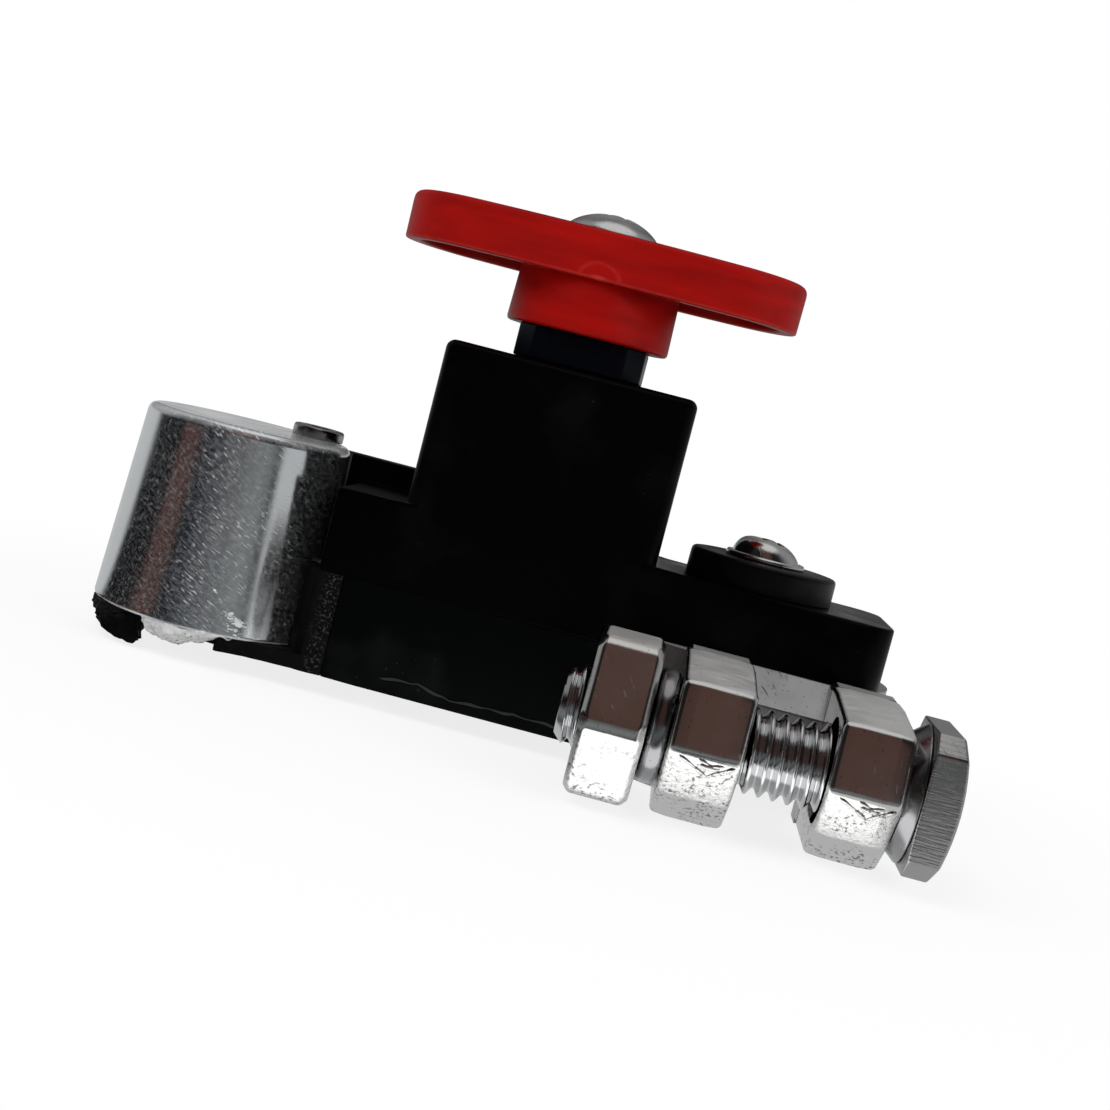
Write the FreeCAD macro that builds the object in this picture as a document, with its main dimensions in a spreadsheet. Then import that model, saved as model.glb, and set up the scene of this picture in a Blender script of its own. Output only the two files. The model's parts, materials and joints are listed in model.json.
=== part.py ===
"""Battery disconnect switch with a turning knob, a tapered post and a battery clamp.

Row frame: +Z up, +X from the post to the clamp, +Y away from the bolt side, millimetres.
The origin is where the axis of the clamp bore meets the plane on which the switch rests.
Parts of the switch are drawn about the knob axis and placed by SWITCH.
"""
import FreeCAD, Part
import os

import Sketcher

doc = FreeCAD.newDocument("battery_disconnect_switch")

SIZES = {
    # layout
    "knob_spacing": 18.2, "clamp_setback": 1.5, "post_spacing": 23.7, "body_lift": 1.2,
    "fit_gap": 0.05, "rest_gap": 0.3, "running_gap": 0.05,
    # housing
    "body_half_depth": 6.85, "seam_rise": 7.84, "arm_rise": 14.2, "tower_rise": 26.9,
    "tower_half": 9.6, "arm_reach": 27.95, "ledge_gap": 9.0, "arm_floor": 9.2,
    "rear_wall_rise": 16.2, "rear_wall_thick": 2.2, "rear_wall_gap": 6.5, "corner_round": 1.2,
    "end_round": 2.4, "edge_round": 0.7, "cavity_radius": 5.25, "cavity_rise": 23.3,
    # lower layer
    "base_gap": 11.0, "screw_inset": 9.8, "screw_edge": 2.05, "screw_radius": 1.1,
    "screw_head_radius": 1.9, "screw_head_height": 1.4, "screw_grip": 11.5,
    "screw_tip_room": 0.5,
    # set resin under the post
    "resin_inset": 0.25, "resin_gap": 9.2, "resin_behind_gap": 7.1, "lump_grip": 0.6,
    # tapered post
    "post_top_radius": 7.95, "post_base_radius": 8.8, "post_height": 15.5, "post_foot": 1.16,
    "post_bevel": 0.5, "bar_half_width": 2.5, "bar_thick": 3.0, "contact_radius": 1.25,
    "contact_offset": 3.75, "contact_height": 0.8, "contact_edge": 0.25,
    "foot_radius": 8.5, "foot_left": 2.9, "foot_right": 2.8, "foot_depth": 3.4, "foot_drop": 1.6,
    "stud_radius": 2.05, "stud_height": 0.9, "stud_side": 4.5, "stud_back": 3.9,
    "stud_bore": 1.05, "stud_shank": 4.0, "stud_lip": 0.3,
    # clamp
    "bore_radius": 8.75, "clamp_wall": 2.4, "plate_thick": 2.5, "ear_left": 4.95,
    "ear_width": 5.1, "ear_gap": 5.73, "ear_rise": 10.8, "bolt_forward": 19.1,
    "ear_toe_reach": 2.6, "ear_toe_rise": 2.1, "ear_nose_reach": 4.8, "ear_nose_rise": 5.45,
    "ear_brow_reach": 3.7, "ear_brow_drop": 0.65, "ear_slope_back": 5.1, "ear_bevel": 0.45,
    "bolt_rise": 5.97, "bolt_radius": 3.0, "near_hole_radius": 3.3, "far_hole_radius": 3.75,
    # bolt hardware
    "lock_ring_thick": 1.6, "lock_ring_radius": 4.5, "nut_thick": 4.5, "nut_across": 11.05,
    "nut_angle": 30.0, "bolt_tail": 1.5, "collar_thick": 1.05, "collar_radius": 4.95,
    "collar_root": 4.1, "head_thick": 2.6, "head_across": 9.9, "head_bevel": 1.2,
    "head_crown": 0.75,
    # rotor
    "drum_radius": 5.2, "drum_rise": 11.4, "drum_top_rise": 21.2, "journal_radius": 4.0,
    "neck_across": 9.8, "neck_bevel": 1.4, "tang_across": 6.6, "knob_roof": 2.6,
    "seal_thick": 1.6, "bridge_length": 9.8, "bridge_width": 4.0, "bridge_thick": 1.4,
    "spring_inner": 1.5, "spring_outer": 3.4, "spring_wall": 0.35,
    "detent_rise": 16.5, "ball_radius": 0.8, "detent_depth": 8.6, "dimple_depth": 0.4,
    "coil_radius": 0.55, "coil_half_wire": 0.12, "coil_pitch": 0.5,
    # knob
    "hub_radius": 6.37, "hub_rise": 29.5, "wing_rise": 33.6, "wing_thick": 3.75,
    "knob_half": 15.5, "side_bulge": 6.95, "shoulder_reach": 10.9, "shoulder_half": 5.9,
    "knob_rim": 1.3, "pocket_depth": 1.9, "knob_edge": 0.45,
    "turn_screw_head": 3.8, "turn_screw_dome": 1.78, "turn_screw_shank": 1.5,
    "turn_screw_length": 9.0,
    # round cap on the right arm
    "cap_side": 17.6, "cap_radius": 5.7, "cap_height": 2.15, "cap_edge": 0.4,
    "cap_screw_head": 3.1, "cap_screw_dome": 1.75, "cap_screw_shank": 1.5,
}

sheet = doc.addObject("Spreadsheet::Sheet", "Sizes")
for row, (alias, value) in enumerate(SIZES.items(), start=1):
    sheet.set(f"A{row}", alias)
    sheet.set(f"B{row}", str(value))
    sheet.setAlias(f"B{row}", alias)
doc.recompute()

parts = {}
SMALL = 1e-4


def term(word):
    """Value of one alias or number, with an optional factor after a star."""
    name, _, factor = word.partition("*")
    number = sheet.get(name) if name in SIZES else float(name)
    return number * (float(factor) if factor else 1.0)


def size(text):
    """Value of a sum such as 'body_lift + seam_rise - fit_gap'."""
    total = 0.0
    sign = 1
    for word in text.split():
        if word in "+-":
            sign = 1 if word == "+" else -1
        else:
            total += sign * term(word)
    return total


def formula(text):
    """The same sum as an expression on the spreadsheet."""
    words = []
    for word in text.split():
        name = word.partition("*")[0]
        words.append("Sizes." + word if name in SIZES else word)
    return " ".join(words)


def minus(text):
    """The same sum with every sign turned round."""
    words = text.split()
    if words[0] not in "+-":
        words.insert(0, "+")
    swapped = {"+": "-", "-": "+"}
    return " ".join(swapped.get(word, word) for word in words)


def bind(thing, **sums):
    """Bind properties of an object to sums of sizes."""
    for prop, text in sums.items():
        thing.setExpression(prop, formula(text))
    return thing


def place(thing, x="0", y="0", z="0"):
    for axis, text in (("x", x), ("y", y), ("z", z)):
        thing.setExpression("Placement.Base." + axis, formula(text))
    return thing


def turn(thing, axis, angle):
    thing.Placement = FreeCAD.Placement(FreeCAD.Vector(), FreeCAD.Rotation(axis, angle))
    return thing


X_AXIS = FreeCAD.Vector(1, 0, 0)
Y_AXIS = FreeCAD.Vector(0, 1, 0)
Z_AXIS = FreeCAD.Vector(0, 0, 1)
SWITCH = {"x": "- knob_spacing", "y": "- clamp_setback"}


def box(name, length, width, height, x="0", y="0", z="0"):
    made = bind(doc.addObject("Part::Box", name), Length=length, Width=width, Height=height)
    return place(made, x, y, z)


def rod(name, radius, height, x="0", y="0", z="0", axis=None, angle=0.0):
    made = doc.addObject("Part::Cylinder", name)
    if axis is not None:
        turn(made, axis, angle)
    return place(bind(made, Radius=radius, Height=height), x, y, z)


def fuse(name, *shapes):
    made = doc.addObject("Part::MultiFuse", name)
    made.Shapes = list(shapes)
    made.Refine = True
    return made


def cut(name, base, *tools):
    made = doc.addObject("Part::Cut", name)
    made.Base = base
    made.Tool = tools[0] if len(tools) == 1 else fuse(name + "_tools", *tools)
    return made


def common(name, *shapes):
    made = doc.addObject("Part::MultiCommon", name)
    made.Shapes = list(shapes)
    return made


def keep(node, thing, x="0", y="0", z="0"):
    """Register a finished piece under its node name and place it in the row frame."""
    thing.Label = node
    place(thing, x, y, z)
    parts[node] = thing


def edge_round(name, base, radius, chosen, kind="Part::Fillet"):
    """Round or bevel the edges of base for which chosen(edge) holds."""
    doc.recompute()
    made = doc.addObject(kind, name)
    made.Base = base
    value = size(radius)
    numbers = [n for n, edge in enumerate(base.Shape.Edges, start=1) if chosen(edge)]
    made.Edges = [(n, value, value) for n in numbers]
    return made


def span(edge):
    return edge.BoundBox


def is_upright(edge):
    """A straight edge along Z."""
    box_of = span(edge)
    return box_of.XLength < SMALL and box_of.YLength < SMALL


def is_level(edge, z):
    """An edge that lies in the plane at height z."""
    return abs(span(edge).ZMin - z) < SMALL and abs(span(edge).ZMax - z) < SMALL


def is_ring(edge):
    """A closed round edge."""
    return edge.isClosed()


def plane_of(body, role):
    return [item for item in body.Origin.OriginFeatures if item.Role == role][0]


def new_sketch(body, name, role, offset=None):
    """A sketch on one of the body's own planes, moved along its normal by a bound sum."""
    sketch = body.newObject("Sketcher::SketchObject", name)
    sketch.AttachmentSupport = [(plane_of(body, role), "")]
    sketch.MapMode = "FlatFace"
    if offset:
        sketch.setExpression("AttachmentOffset.Base.z", formula(offset))
    return sketch


def pin_point(sketch, geometry, end, x, y):
    """Hold one point of a sketch at bound distances from the sketch origin."""
    for kind, text in (("DistanceX", x), ("DistanceY", y)):
        number = sketch.addConstraint(
            Sketcher.Constraint(kind, -1, 1, geometry, end, size(text)))
        sketch.setExpression(f"Constraints[{number}]", formula(text))


def polygon(sketch, points):
    """A closed outline of straight lines through bound points."""
    corners = [FreeCAD.Vector(size(x), size(y), 0) for x, y in points]
    count = len(points)
    for n in range(count):
        sketch.addGeometry(Part.LineSegment(corners[n], corners[(n + 1) % count]), False)
    for n in range(count):
        sketch.addConstraint(Sketcher.Constraint("Coincident", n, 2, (n + 1) % count, 1))
        pin_point(sketch, n, 1, *points[n])
    return sketch


def circle(sketch, x, y, radius):
    centre = FreeCAD.Vector(size(x), size(y), 0)
    number = sketch.addGeometry(Part.Circle(centre, Z_AXIS, size(radius)), False)
    pin_point(sketch, number, 3, x, y)
    held = sketch.addConstraint(Sketcher.Constraint("Radius", number, size(radius)))
    sketch.setExpression(f"Constraints[{held}]", formula(radius))
    return sketch


def pad(body, name, sketch, length, both_ways=False):
    made = body.newObject("PartDesign::Pad", name)
    made.Profile = sketch
    if both_ways:
        made.SideType = "Symmetric"
    bind(made, Length=length)
    return made


def pocket(body, name, sketch, depth, reverse=True):
    """A pocket that must take material away from the body."""
    doc.recompute()
    before = body.Shape.Volume
    made = body.newObject("PartDesign::Pocket", name)
    made.Profile = sketch
    made.Reversed = reverse
    bind(made, Length=depth)
    doc.recompute()
    if body.Shape.Volume >= before:
        raise RuntimeError(name + " removed nothing")
    return made


def round_edges(body, name, base, radius, chosen):
    """A fillet inside a body, on the edges for which chosen(edge) holds."""
    doc.recompute()
    names = [f"Edge{n}" for n, edge in enumerate(base.Shape.Edges, start=1) if chosen(edge)]
    made = body.newObject("PartDesign::Fillet", name)
    made.Base = (base, names)
    bind(made, Radius=radius)
    return made


def bevel_edges(body, name, base, width, chosen):
    """A chamfer inside a body, on the edges for which chosen(edge) holds."""
    doc.recompute()
    names = [f"Edge{n}" for n, edge in enumerate(base.Shape.Edges, start=1) if chosen(edge)]
    made = body.newObject("PartDesign::Chamfer", name)
    made.Base = (base, names)
    bind(made, Size=width)
    return made


def turned_profile(name, points):
    """A solid of revolution about Z from (radius, height) sums."""
    body = doc.addObject("PartDesign::Body", name + "_body")
    sketch = polygon(new_sketch(body, name + "_outline", "XZ_Plane"), points)
    made = body.newObject("PartDesign::Revolution", name + "_turned")
    made.Profile = sketch
    made.ReferenceAxis = (sketch, ["V_Axis"])
    made.Angle = 360.0
    return body


SEAM = "body_lift + seam_rise"
ARM_TOP = "body_lift + arm_rise"
TOWER_TOP = "body_lift + tower_rise"
ARM_FLOOR = "body_lift + arm_floor"
POST_FOOT = "body_lift + post_foot"
POST_TOP = "body_lift + post_foot + post_height"
SCREW_SIDES = ("body_half_depth - screw_edge", "screw_edge - body_half_depth")


def make_housing():
    """Moulded housing: tower, left ledge with raised rear wall, thin arm over the clamp."""
    body = doc.addObject("PartDesign::Body", "housing_body")
    arm_root = "knob_spacing - bore_radius - clamp_wall - fit_gap"
    outline = polygon(new_sketch(body, "side_outline", "XZ_Plane"), [
        ("ledge_gap - post_spacing", SEAM), (arm_root, SEAM), (arm_root, ARM_FLOOR),
        ("arm_reach", ARM_FLOOR), ("arm_reach", ARM_TOP), ("tower_half", ARM_TOP),
        ("tower_half", TOWER_TOP), ("- tower_half", TOWER_TOP),
        ("- tower_half", ARM_TOP), ("ledge_gap - post_spacing", ARM_TOP)])
    shell = pad(body, "side_shape", outline, "body_half_depth*2", both_ways=True)

    def is_arm_end(edge):
        return is_upright(edge) and abs(span(edge).XMin - size("arm_reach")) < SMALL

    def is_tower_corner(edge):
        return is_upright(edge) and abs(abs(span(edge).XMin) - size("tower_half")) < SMALL

    ends = round_edges(body, "arm_end_round", shell, "end_round", is_arm_end)
    corners = round_edges(body, "tower_corner_round", ends, "corner_round", is_tower_corner)
    rims = round_edges(body, "top_round", corners, "edge_round",
                       lambda edge: is_level(edge, size(TOWER_TOP)))
    body.Tip = rims
    rear = polygon(new_sketch(body, "rear_wall_outline", "XY_Plane", SEAM), [
        ("rear_wall_gap - post_spacing", "body_half_depth - rear_wall_thick"),
        ("- tower_half", "body_half_depth - rear_wall_thick"),
        ("- tower_half", "body_half_depth - corner_round"),
        ("- tower_half - corner_round", "body_half_depth"),
        ("rear_wall_gap - post_spacing", "body_half_depth")])
    pad(body, "rear_wall", rear, "rear_wall_rise - seam_rise")
    cavity = circle(new_sketch(body, "cavity_outline", "XY_Plane", SEAM), "0", "0",
                    "cavity_radius")
    pocket(body, "cavity", cavity, "cavity_rise - seam_rise")
    shaft_hole = circle(new_sketch(body, "shaft_outline", "XY_Plane", SEAM), "0", "0",
                        "journal_radius + running_gap")
    pocket(body, "shaft_hole", shaft_hole, "tower_rise")
    detent = circle(new_sketch(body, "detent_outline", "YZ_Plane"), "0",
                    "body_lift + detent_rise", "ball_radius + fit_gap")
    pocket(body, "detent_bore", detent, "detent_depth")
    screws = new_sketch(body, "screw_outline", "XY_Plane", SEAM)
    for side in SCREW_SIDES:
        circle(screws, "- screw_inset", side, "screw_radius + fit_gap")
    pocket(body, "screw_holes", screws, "screw_grip - seam_rise + screw_tip_room")
    cap_hole = circle(new_sketch(body, "cap_hole_outline", "XY_Plane", SEAM), "cap_side", "0",
                      "cap_screw_shank + fit_gap")
    pocket(body, "cap_hole", cap_hole, "arm_rise")
    relief = new_sketch(body, "post_relief_outline", "XY_Plane", SEAM)
    circle(relief, "- post_spacing", "0", "post_base_radius + fit_gap")
    pocket(body, "post_relief", relief, "arm_rise")
    keep("housing", body, **SWITCH)


def bar_channel(name, x_low, x_high):
    """Room for a contact bar in the lower layer."""
    return box(name, f"{x_high} {minus(x_low)}",
               "bar_half_width*2 + fit_gap*2", "bar_thick",
               x_low, "- bar_half_width - fit_gap", SEAM + " - bar_thick")


def make_base_cover():
    """Lower layer that closes the housing, hollowed round the clamp ring."""
    block = box("cover_block", "post_spacing - base_gap + knob_spacing - bore_radius",
                "body_half_depth*2", "seam_rise",
                "base_gap - post_spacing", "- body_half_depth", "body_lift")
    ring_room = rod("cover_ring_room", "bore_radius + clamp_wall + rest_gap", "seam_rise",
                    "knob_spacing", "clamp_setback", "body_lift")
    left = bar_channel("cover_left_channel", "base_gap - post_spacing",
                       "- contact_offset + contact_radius + rest_gap")
    right = bar_channel("cover_right_channel", "contact_offset - contact_radius - rest_gap",
                        "knob_spacing - bore_radius")
    holes = []
    for n, side in enumerate(SCREW_SIDES):
        holes.append(rod(f"cover_screw_hole_{n}", "screw_radius + fit_gap", "seam_rise",
                         "- screw_inset", side, "body_lift"))
        holes.append(rod(f"cover_screw_head_{n}", "screw_head_radius + fit_gap",
                         "screw_head_height", "- screw_inset", side, "body_lift"))
    keep("base_cover", cut("cover_shape", block, ring_room, left, right, *holes), **SWITCH)


def make_base_screws():
    """Two self-tapping screws from below, sunk flush with the lower layer."""
    screws = []
    for n, side in enumerate(SCREW_SIDES):
        head = rod(f"screw_head_{n}", "screw_head_radius", "screw_head_height",
                   "- screw_inset", side, "body_lift")
        shank = rod(f"screw_shank_{n}", "screw_radius", "screw_grip",
                    "- screw_inset", side, "body_lift")
        screws.append(fuse(f"screw_{n}", head, shank))
    keep("base_screws", fuse("screw_pair", *screws), **SWITCH)


# corners of the set resin about the post, in shares of the post's foot radius
RESIN_EDGE = [(0.6, -0.82), (0.36, -0.91), (-0.39, -0.85), (-0.79, -0.71), (-0.96, -0.38),
              (-0.92, 0.16), (-0.99, 0.51), (-0.69, 0.78), (-0.06, 0.86), (0.69, 0.76)]
LUMP_EDGE = [(-0.38, -0.84), (-0.65, -0.81), (-0.81, -0.66), (-0.88, -0.42), (-0.75, -0.22),
             (-0.54, -0.28), (-0.41, -0.52)]


def about_post(points):
    """Bound corners from shares of the foot radius."""
    return [(f"- post_spacing + foot_radius*{x}", f"foot_radius*{y}") for x, y in points]


def make_potting():
    """Hardened sealing resin under the post, with its ragged lump at the left end."""
    body = doc.addObject("PartDesign::Body", "potting_body")
    right_edge = "base_gap - post_spacing - fit_gap"
    near = "- body_half_depth + resin_inset"
    far = "body_half_depth - resin_inset"
    slab_outline = polygon(
        new_sketch(body, "potting_outline", "XY_Plane", "body_lift"),
        [(right_edge, near)] + about_post(RESIN_EDGE) + [(right_edge, far)])
    pad(body, "potting_slab", slab_outline, "post_foot")
    lump_outline = polygon(new_sketch(body, "lump_outline", "XY_Plane"), about_post(LUMP_EDGE))
    pad(body, "lump", lump_outline, "body_lift + lump_grip")
    web_outline = polygon(new_sketch(body, "web_outline", "XY_Plane", "body_lift"), [
        (right_edge, near), ("resin_gap - post_spacing", near),
        ("resin_behind_gap - post_spacing", "- body_half_depth*0.5"),
        ("resin_behind_gap - post_spacing", "body_half_depth*0.5"),
        ("resin_gap - post_spacing", far),
        (right_edge, far)])
    pad(body, "web", web_outline, "seam_rise - fit_gap")
    room = circle(new_sketch(body, "post_room_outline", "XY_Plane", POST_FOOT),
                  "- post_spacing", "0", "post_base_radius + fit_gap")
    pocket(body, "post_room", room, "post_height")
    slot = polygon(new_sketch(body, "bar_room_outline", "XY_Plane", SEAM + " - bar_thick"), [
        ("- post_spacing", "- bar_half_width - fit_gap"), ("0", "- bar_half_width - fit_gap"),
        ("0", "bar_half_width + fit_gap"), ("- post_spacing", "bar_half_width + fit_gap")])
    pocket(body, "bar_room", slot, "bar_thick")
    foot_back = "- foot_radius + foot_depth + fit_gap"
    foot = polygon(new_sketch(body, "foot_room_outline", "XY_Plane"), [
        ("- post_spacing - foot_left - fit_gap", "- foot_radius*2"),
        ("- post_spacing + foot_right + fit_gap", "- foot_radius*2"),
        ("- post_spacing + foot_right + fit_gap", foot_back),
        ("- post_spacing - foot_left - fit_gap", foot_back)])
    pocket(body, "foot_room", foot, "body_lift + post_foot")
    keep("base_potting", body, **SWITCH)


def make_post():
    """Tapered battery post with its scarred foot and the bar that enters the housing."""
    taper = doc.addObject("Part::Cone", "post_taper_cone")
    bind(taper, Radius1="post_base_radius", Radius2="post_top_radius", Height="post_height")
    place(taper, z=POST_FOOT)
    bevelled = edge_round("post_bevelled", taper, "post_bevel",
                          lambda edge: is_level(edge, size(POST_TOP)) and is_ring(edge),
                          "Part::Chamfer")
    foot = common("post_foot_patch",
                  rod("foot_disc", "foot_radius", "foot_drop", "0", "0",
                      POST_FOOT + " - foot_drop"),
                  box("foot_window", "foot_left + foot_right", "foot_depth", "foot_drop",
                      "- foot_left", "- foot_radius", POST_FOOT + " - foot_drop"))
    bar = box("post_bar", "post_spacing - contact_offset + contact_radius",
              "bar_half_width*2", "bar_thick", "0", "- bar_half_width", SEAM + " - bar_thick")
    stud_hole = rod("stud_hole", "stud_bore + fit_gap", "stud_shank + fit_gap", "stud_side",
                    "stud_back", POST_TOP + " - stud_shank - fit_gap")
    shape = cut("post_shape", fuse("post_solid", bevelled, foot, bar), stud_hole)
    keep("terminal_post", shape, "- knob_spacing - post_spacing", "- clamp_setback")


def make_post_stud():
    """Small hollow stud pressed into the far side of the post's top face."""
    shank = rod("stud_shank_rod", "stud_bore", "stud_shank", z="- stud_shank")
    cap = rod("stud_cap", "stud_radius", "stud_height")
    rounded = edge_round("stud_rounded", cap, "stud_lip",
                         lambda edge: is_level(edge, size("stud_height")), "Part::Chamfer")
    hollow = rod("stud_hollow", "stud_bore", "stud_height", z="stud_lip")
    shape = cut("stud_shape", fuse("stud_solid", rounded, shank), hollow)
    keep("post_stud", shape, "- knob_spacing - post_spacing + stud_side",
         "- clamp_setback + stud_back", POST_TOP)


def make_ear(name, low):
    """One many-sided ear of the clamp, its outer edges bevelled, standing from x = low."""
    body = doc.addObject("PartDesign::Body", name + "_body")
    front = "- bolt_forward"
    sketch = polygon(new_sketch(body, name + "_outline", "YZ_Plane", low), [
        ("- bore_radius", "0"), (front, "0"), (front + " - ear_toe_reach", "ear_toe_rise"),
        (front + " - ear_nose_reach", "ear_nose_rise"),
        (front + " - ear_brow_reach", "ear_rise - ear_brow_drop"),
        (front + " + ear_slope_back", "ear_rise"), ("- bore_radius", "ear_rise")])
    block = pad(body, name + "_block", sketch, "ear_width")

    def is_front_rim(edge):
        slope_back = size(front + " + ear_slope_back")
        return span(edge).XLength < SMALL and span(edge).YMin < slope_back - SMALL

    bevel_edges(body, name + "_bevels", block, "ear_bevel", is_front_rim)
    return body


def make_clamp():
    """Cast battery clamp: split ring, closing plate, two ears and a contact bar."""
    ring = rod("clamp_ring", "bore_radius + clamp_wall", ARM_FLOOR)
    near_ear = make_ear("near_ear", "- ear_left")
    far_ear = make_ear("far_ear", "- ear_left + ear_width + ear_gap")
    gap_left = "- ear_left + ear_width"
    ring_front = "- bore_radius - clamp_wall"
    web = box("ear_web", "ear_gap", "clamp_wall", "ear_rise", gap_left, ring_front)
    bar = box("clamp_bar", "knob_spacing - contact_offset + contact_radius - bore_radius",
              "bar_half_width*2", "bar_thick",
              "- knob_spacing + contact_offset - contact_radius",
              "- clamp_setback - bar_half_width", SEAM + " - bar_thick")
    solid = fuse("clamp_solid", ring, near_ear, far_ear, web, bar)
    bore = rod("clamp_bore", "bore_radius", ARM_FLOOR + " - plate_thick")
    split = box("clamp_split", "ear_gap", "bore_radius + clamp_wall", ARM_FLOOR + " - plate_thick",
                gap_left, ring_front)
    slope = box("web_slope", "ear_gap", "plate_thick*2", "plate_thick*2", gap_left)
    turn(slope, X_AXIS, 45)
    place(slope, gap_left, ring_front, ARM_FLOOR + " - plate_thick")
    near_hole = rod("near_hole", "near_hole_radius", "ear_width + rest_gap*2",
                    "- ear_left - rest_gap", "- bolt_forward", "bolt_rise", Y_AXIS, 90)
    far_hole = rod("far_hole", "far_hole_radius", "ear_width + rest_gap*2",
                   "- ear_left + ear_width + ear_gap - rest_gap", "- bolt_forward", "bolt_rise",
                   Y_AXIS, 90)
    screw_hole = rod("plate_hole", "cap_screw_shank + fit_gap", "plate_thick*2",
                     "- knob_spacing + cap_side", "- clamp_setback", ARM_FLOOR + " - plate_thick")
    shape = cut("clamp_shape", solid, bore, split, slope, near_hole, far_hole, screw_hole)
    keep("clamp_terminal", shape)


def make_contacts():
    """Silvered pads on the inner ends of the two bars."""
    for node, side in (("post_contact", "- contact_offset"), ("clamp_contact", "contact_offset")):
        button = rod(node + "_button", "contact_radius", "contact_height")
        rounded = edge_round(node + "_rounded", button, "contact_edge",
                             lambda edge: is_level(edge, size("contact_height")),
                             "Part::Chamfer")
        keep(node, rounded, "- knob_spacing " + (side if side[0] == "-" else "+ " + side),
             "- clamp_setback", SEAM)


BRIDGE_LOW = SEAM + " + contact_height"
BRIDGE_TOP = BRIDGE_LOW + " + bridge_thick"


def make_bridge():
    """Moving contact that joins the two pads while the knob is in line with the body."""
    bar = box("bridge_bar", "bridge_length", "bridge_width", "bridge_thick",
              "- bridge_length*0.5", "- bridge_width*0.5")
    rounded = common("bridge_round", bar, rod("bridge_ends", "bridge_length*0.5", "bridge_thick"))
    keep("contact_bridge", rounded, z=BRIDGE_LOW, **SWITCH)


def make_contact_spring():
    """Dished spring washer between the rotor and the moving contact."""
    rise = "drum_rise - seam_rise - contact_height - bridge_thick"
    body = turned_profile("contact_spring", [
        ("spring_inner", rise + " - spring_wall"), ("spring_outer", "0"),
        ("spring_outer", "spring_wall"), ("spring_inner", rise)])
    keep("contact_spring", body, z=BRIDGE_TOP, **SWITCH)


KNOB_TOP = "body_lift + wing_rise + wing_thick"
SOCKET_DEPTH = "wing_rise - hub_rise + wing_thick - knob_roof"


def make_rotor():
    """Shaft that the knob turns: drum, journal, square neck and tang."""
    drum_low = "body_lift + drum_rise"
    drum = rod("drum", "drum_radius", "drum_top_rise - drum_rise", z=drum_low)
    journal = rod("journal", "journal_radius", "tower_rise - drum_top_rise + running_gap",
                  z="body_lift + drum_top_rise")
    neck_block = box("neck_block", "neck_across", "neck_across",
                     "hub_rise - tower_rise - running_gap", "- neck_across*0.5",
                     "- neck_across*0.5", TOWER_TOP + " + running_gap")
    neck = edge_round("neck", neck_block, "neck_bevel", is_upright, "Part::Chamfer")
    tang = box("tang", "tang_across", "tang_across", SOCKET_DEPTH + " - fit_gap",
               "- tang_across*0.5", "- tang_across*0.5", "body_lift + hub_rise")
    screw_hole = rod("rotor_screw_hole", "turn_screw_shank + fit_gap", "turn_screw_length*2",
                     z=KNOB_TOP + " - turn_screw_length")
    dimples = []
    for n, (axis, x, y) in enumerate(((Y_AXIS, "drum_radius - dimple_depth", "0"),
                                      (X_AXIS, "0", "dimple_depth - drum_radius"))):
        seat = turn(doc.addObject("Part::Cone", f"dimple_{n}"), axis, 90)
        bind(seat, Radius1="0", Radius2="ball_radius", Height="dimple_depth*2")
        dimples.append(place(seat, x, y, "body_lift + detent_rise"))
    shape = cut("rotor_shape", fuse("rotor_solid", drum, journal, neck, tang), screw_hole,
                *dimples)
    keep("rotor_shaft", shape, **SWITCH)


def make_seal():
    """Ring that keeps dirt out where the shaft leaves the housing."""
    outer = rod("seal_outer", "cavity_radius - fit_gap", "seal_thick")
    inner = rod("seal_inner", "journal_radius + running_gap", "seal_thick")
    keep("shaft_seal", cut("seal_shape", outer, inner), z="body_lift + cavity_rise - seal_thick",
         **SWITCH)


BALL_CENTRE = "drum_radius + rest_gap + ball_radius"


def half_turn(number, rise):
    """Half a turn of square wire along X: a ring half that leans forward by its rise."""
    side = 1 if number % 2 == 0 else -1
    start = FreeCAD.Vector(number * rise, 0, -side * size("coil_radius"))
    stop = FreeCAD.Vector((number + 1) * rise, 0, side * size("coil_radius"))
    across = (stop - start).normalize()
    frame = FreeCAD.Rotation(-across, Y_AXIS * side, Z_AXIS, "XYZ")
    reach = (stop - start).Length / 2
    disc = rod(f"half_disc_{number}", "coil_half_wire", "coil_half_wire*2", z="- coil_half_wire")
    hole = rod(f"half_hole_{number}", "coil_half_wire", "coil_half_wire*2", z="- coil_half_wire")
    for half, side_sum in ((disc, "+"), (hole, "-")):
        half.Angle = 180
        half.setExpression("Radius", f"{reach} {side_sum} Sizes.coil_half_wire")
    ring = cut(f"half_turn_{number}", disc, hole)
    ring.Placement = FreeCAD.Placement((start + stop) * 0.5, frame)
    return ring


def make_detent():
    """Ball and coil spring that hold the knob at each end of its turn."""
    ball = doc.addObject("Part::Sphere", "ball_sphere")
    bind(ball, Radius="ball_radius")
    keep("detent_ball", ball, "- knob_spacing + " + BALL_CENTRE, "- clamp_setback",
         "body_lift + detent_rise")
    start = BALL_CENTRE + " + ball_radius + fit_gap + coil_half_wire"
    room = size("detent_depth - fit_gap - coil_half_wire " + minus(start))
    halves = max(2, int(room / (size("coil_pitch") / 2)))
    coil = fuse("coil", *[half_turn(n, room / halves) for n in range(halves)])
    keep("detent_spring", coil, "- knob_spacing + " + start, "- clamp_setback",
         "body_lift + detent_rise")


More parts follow.
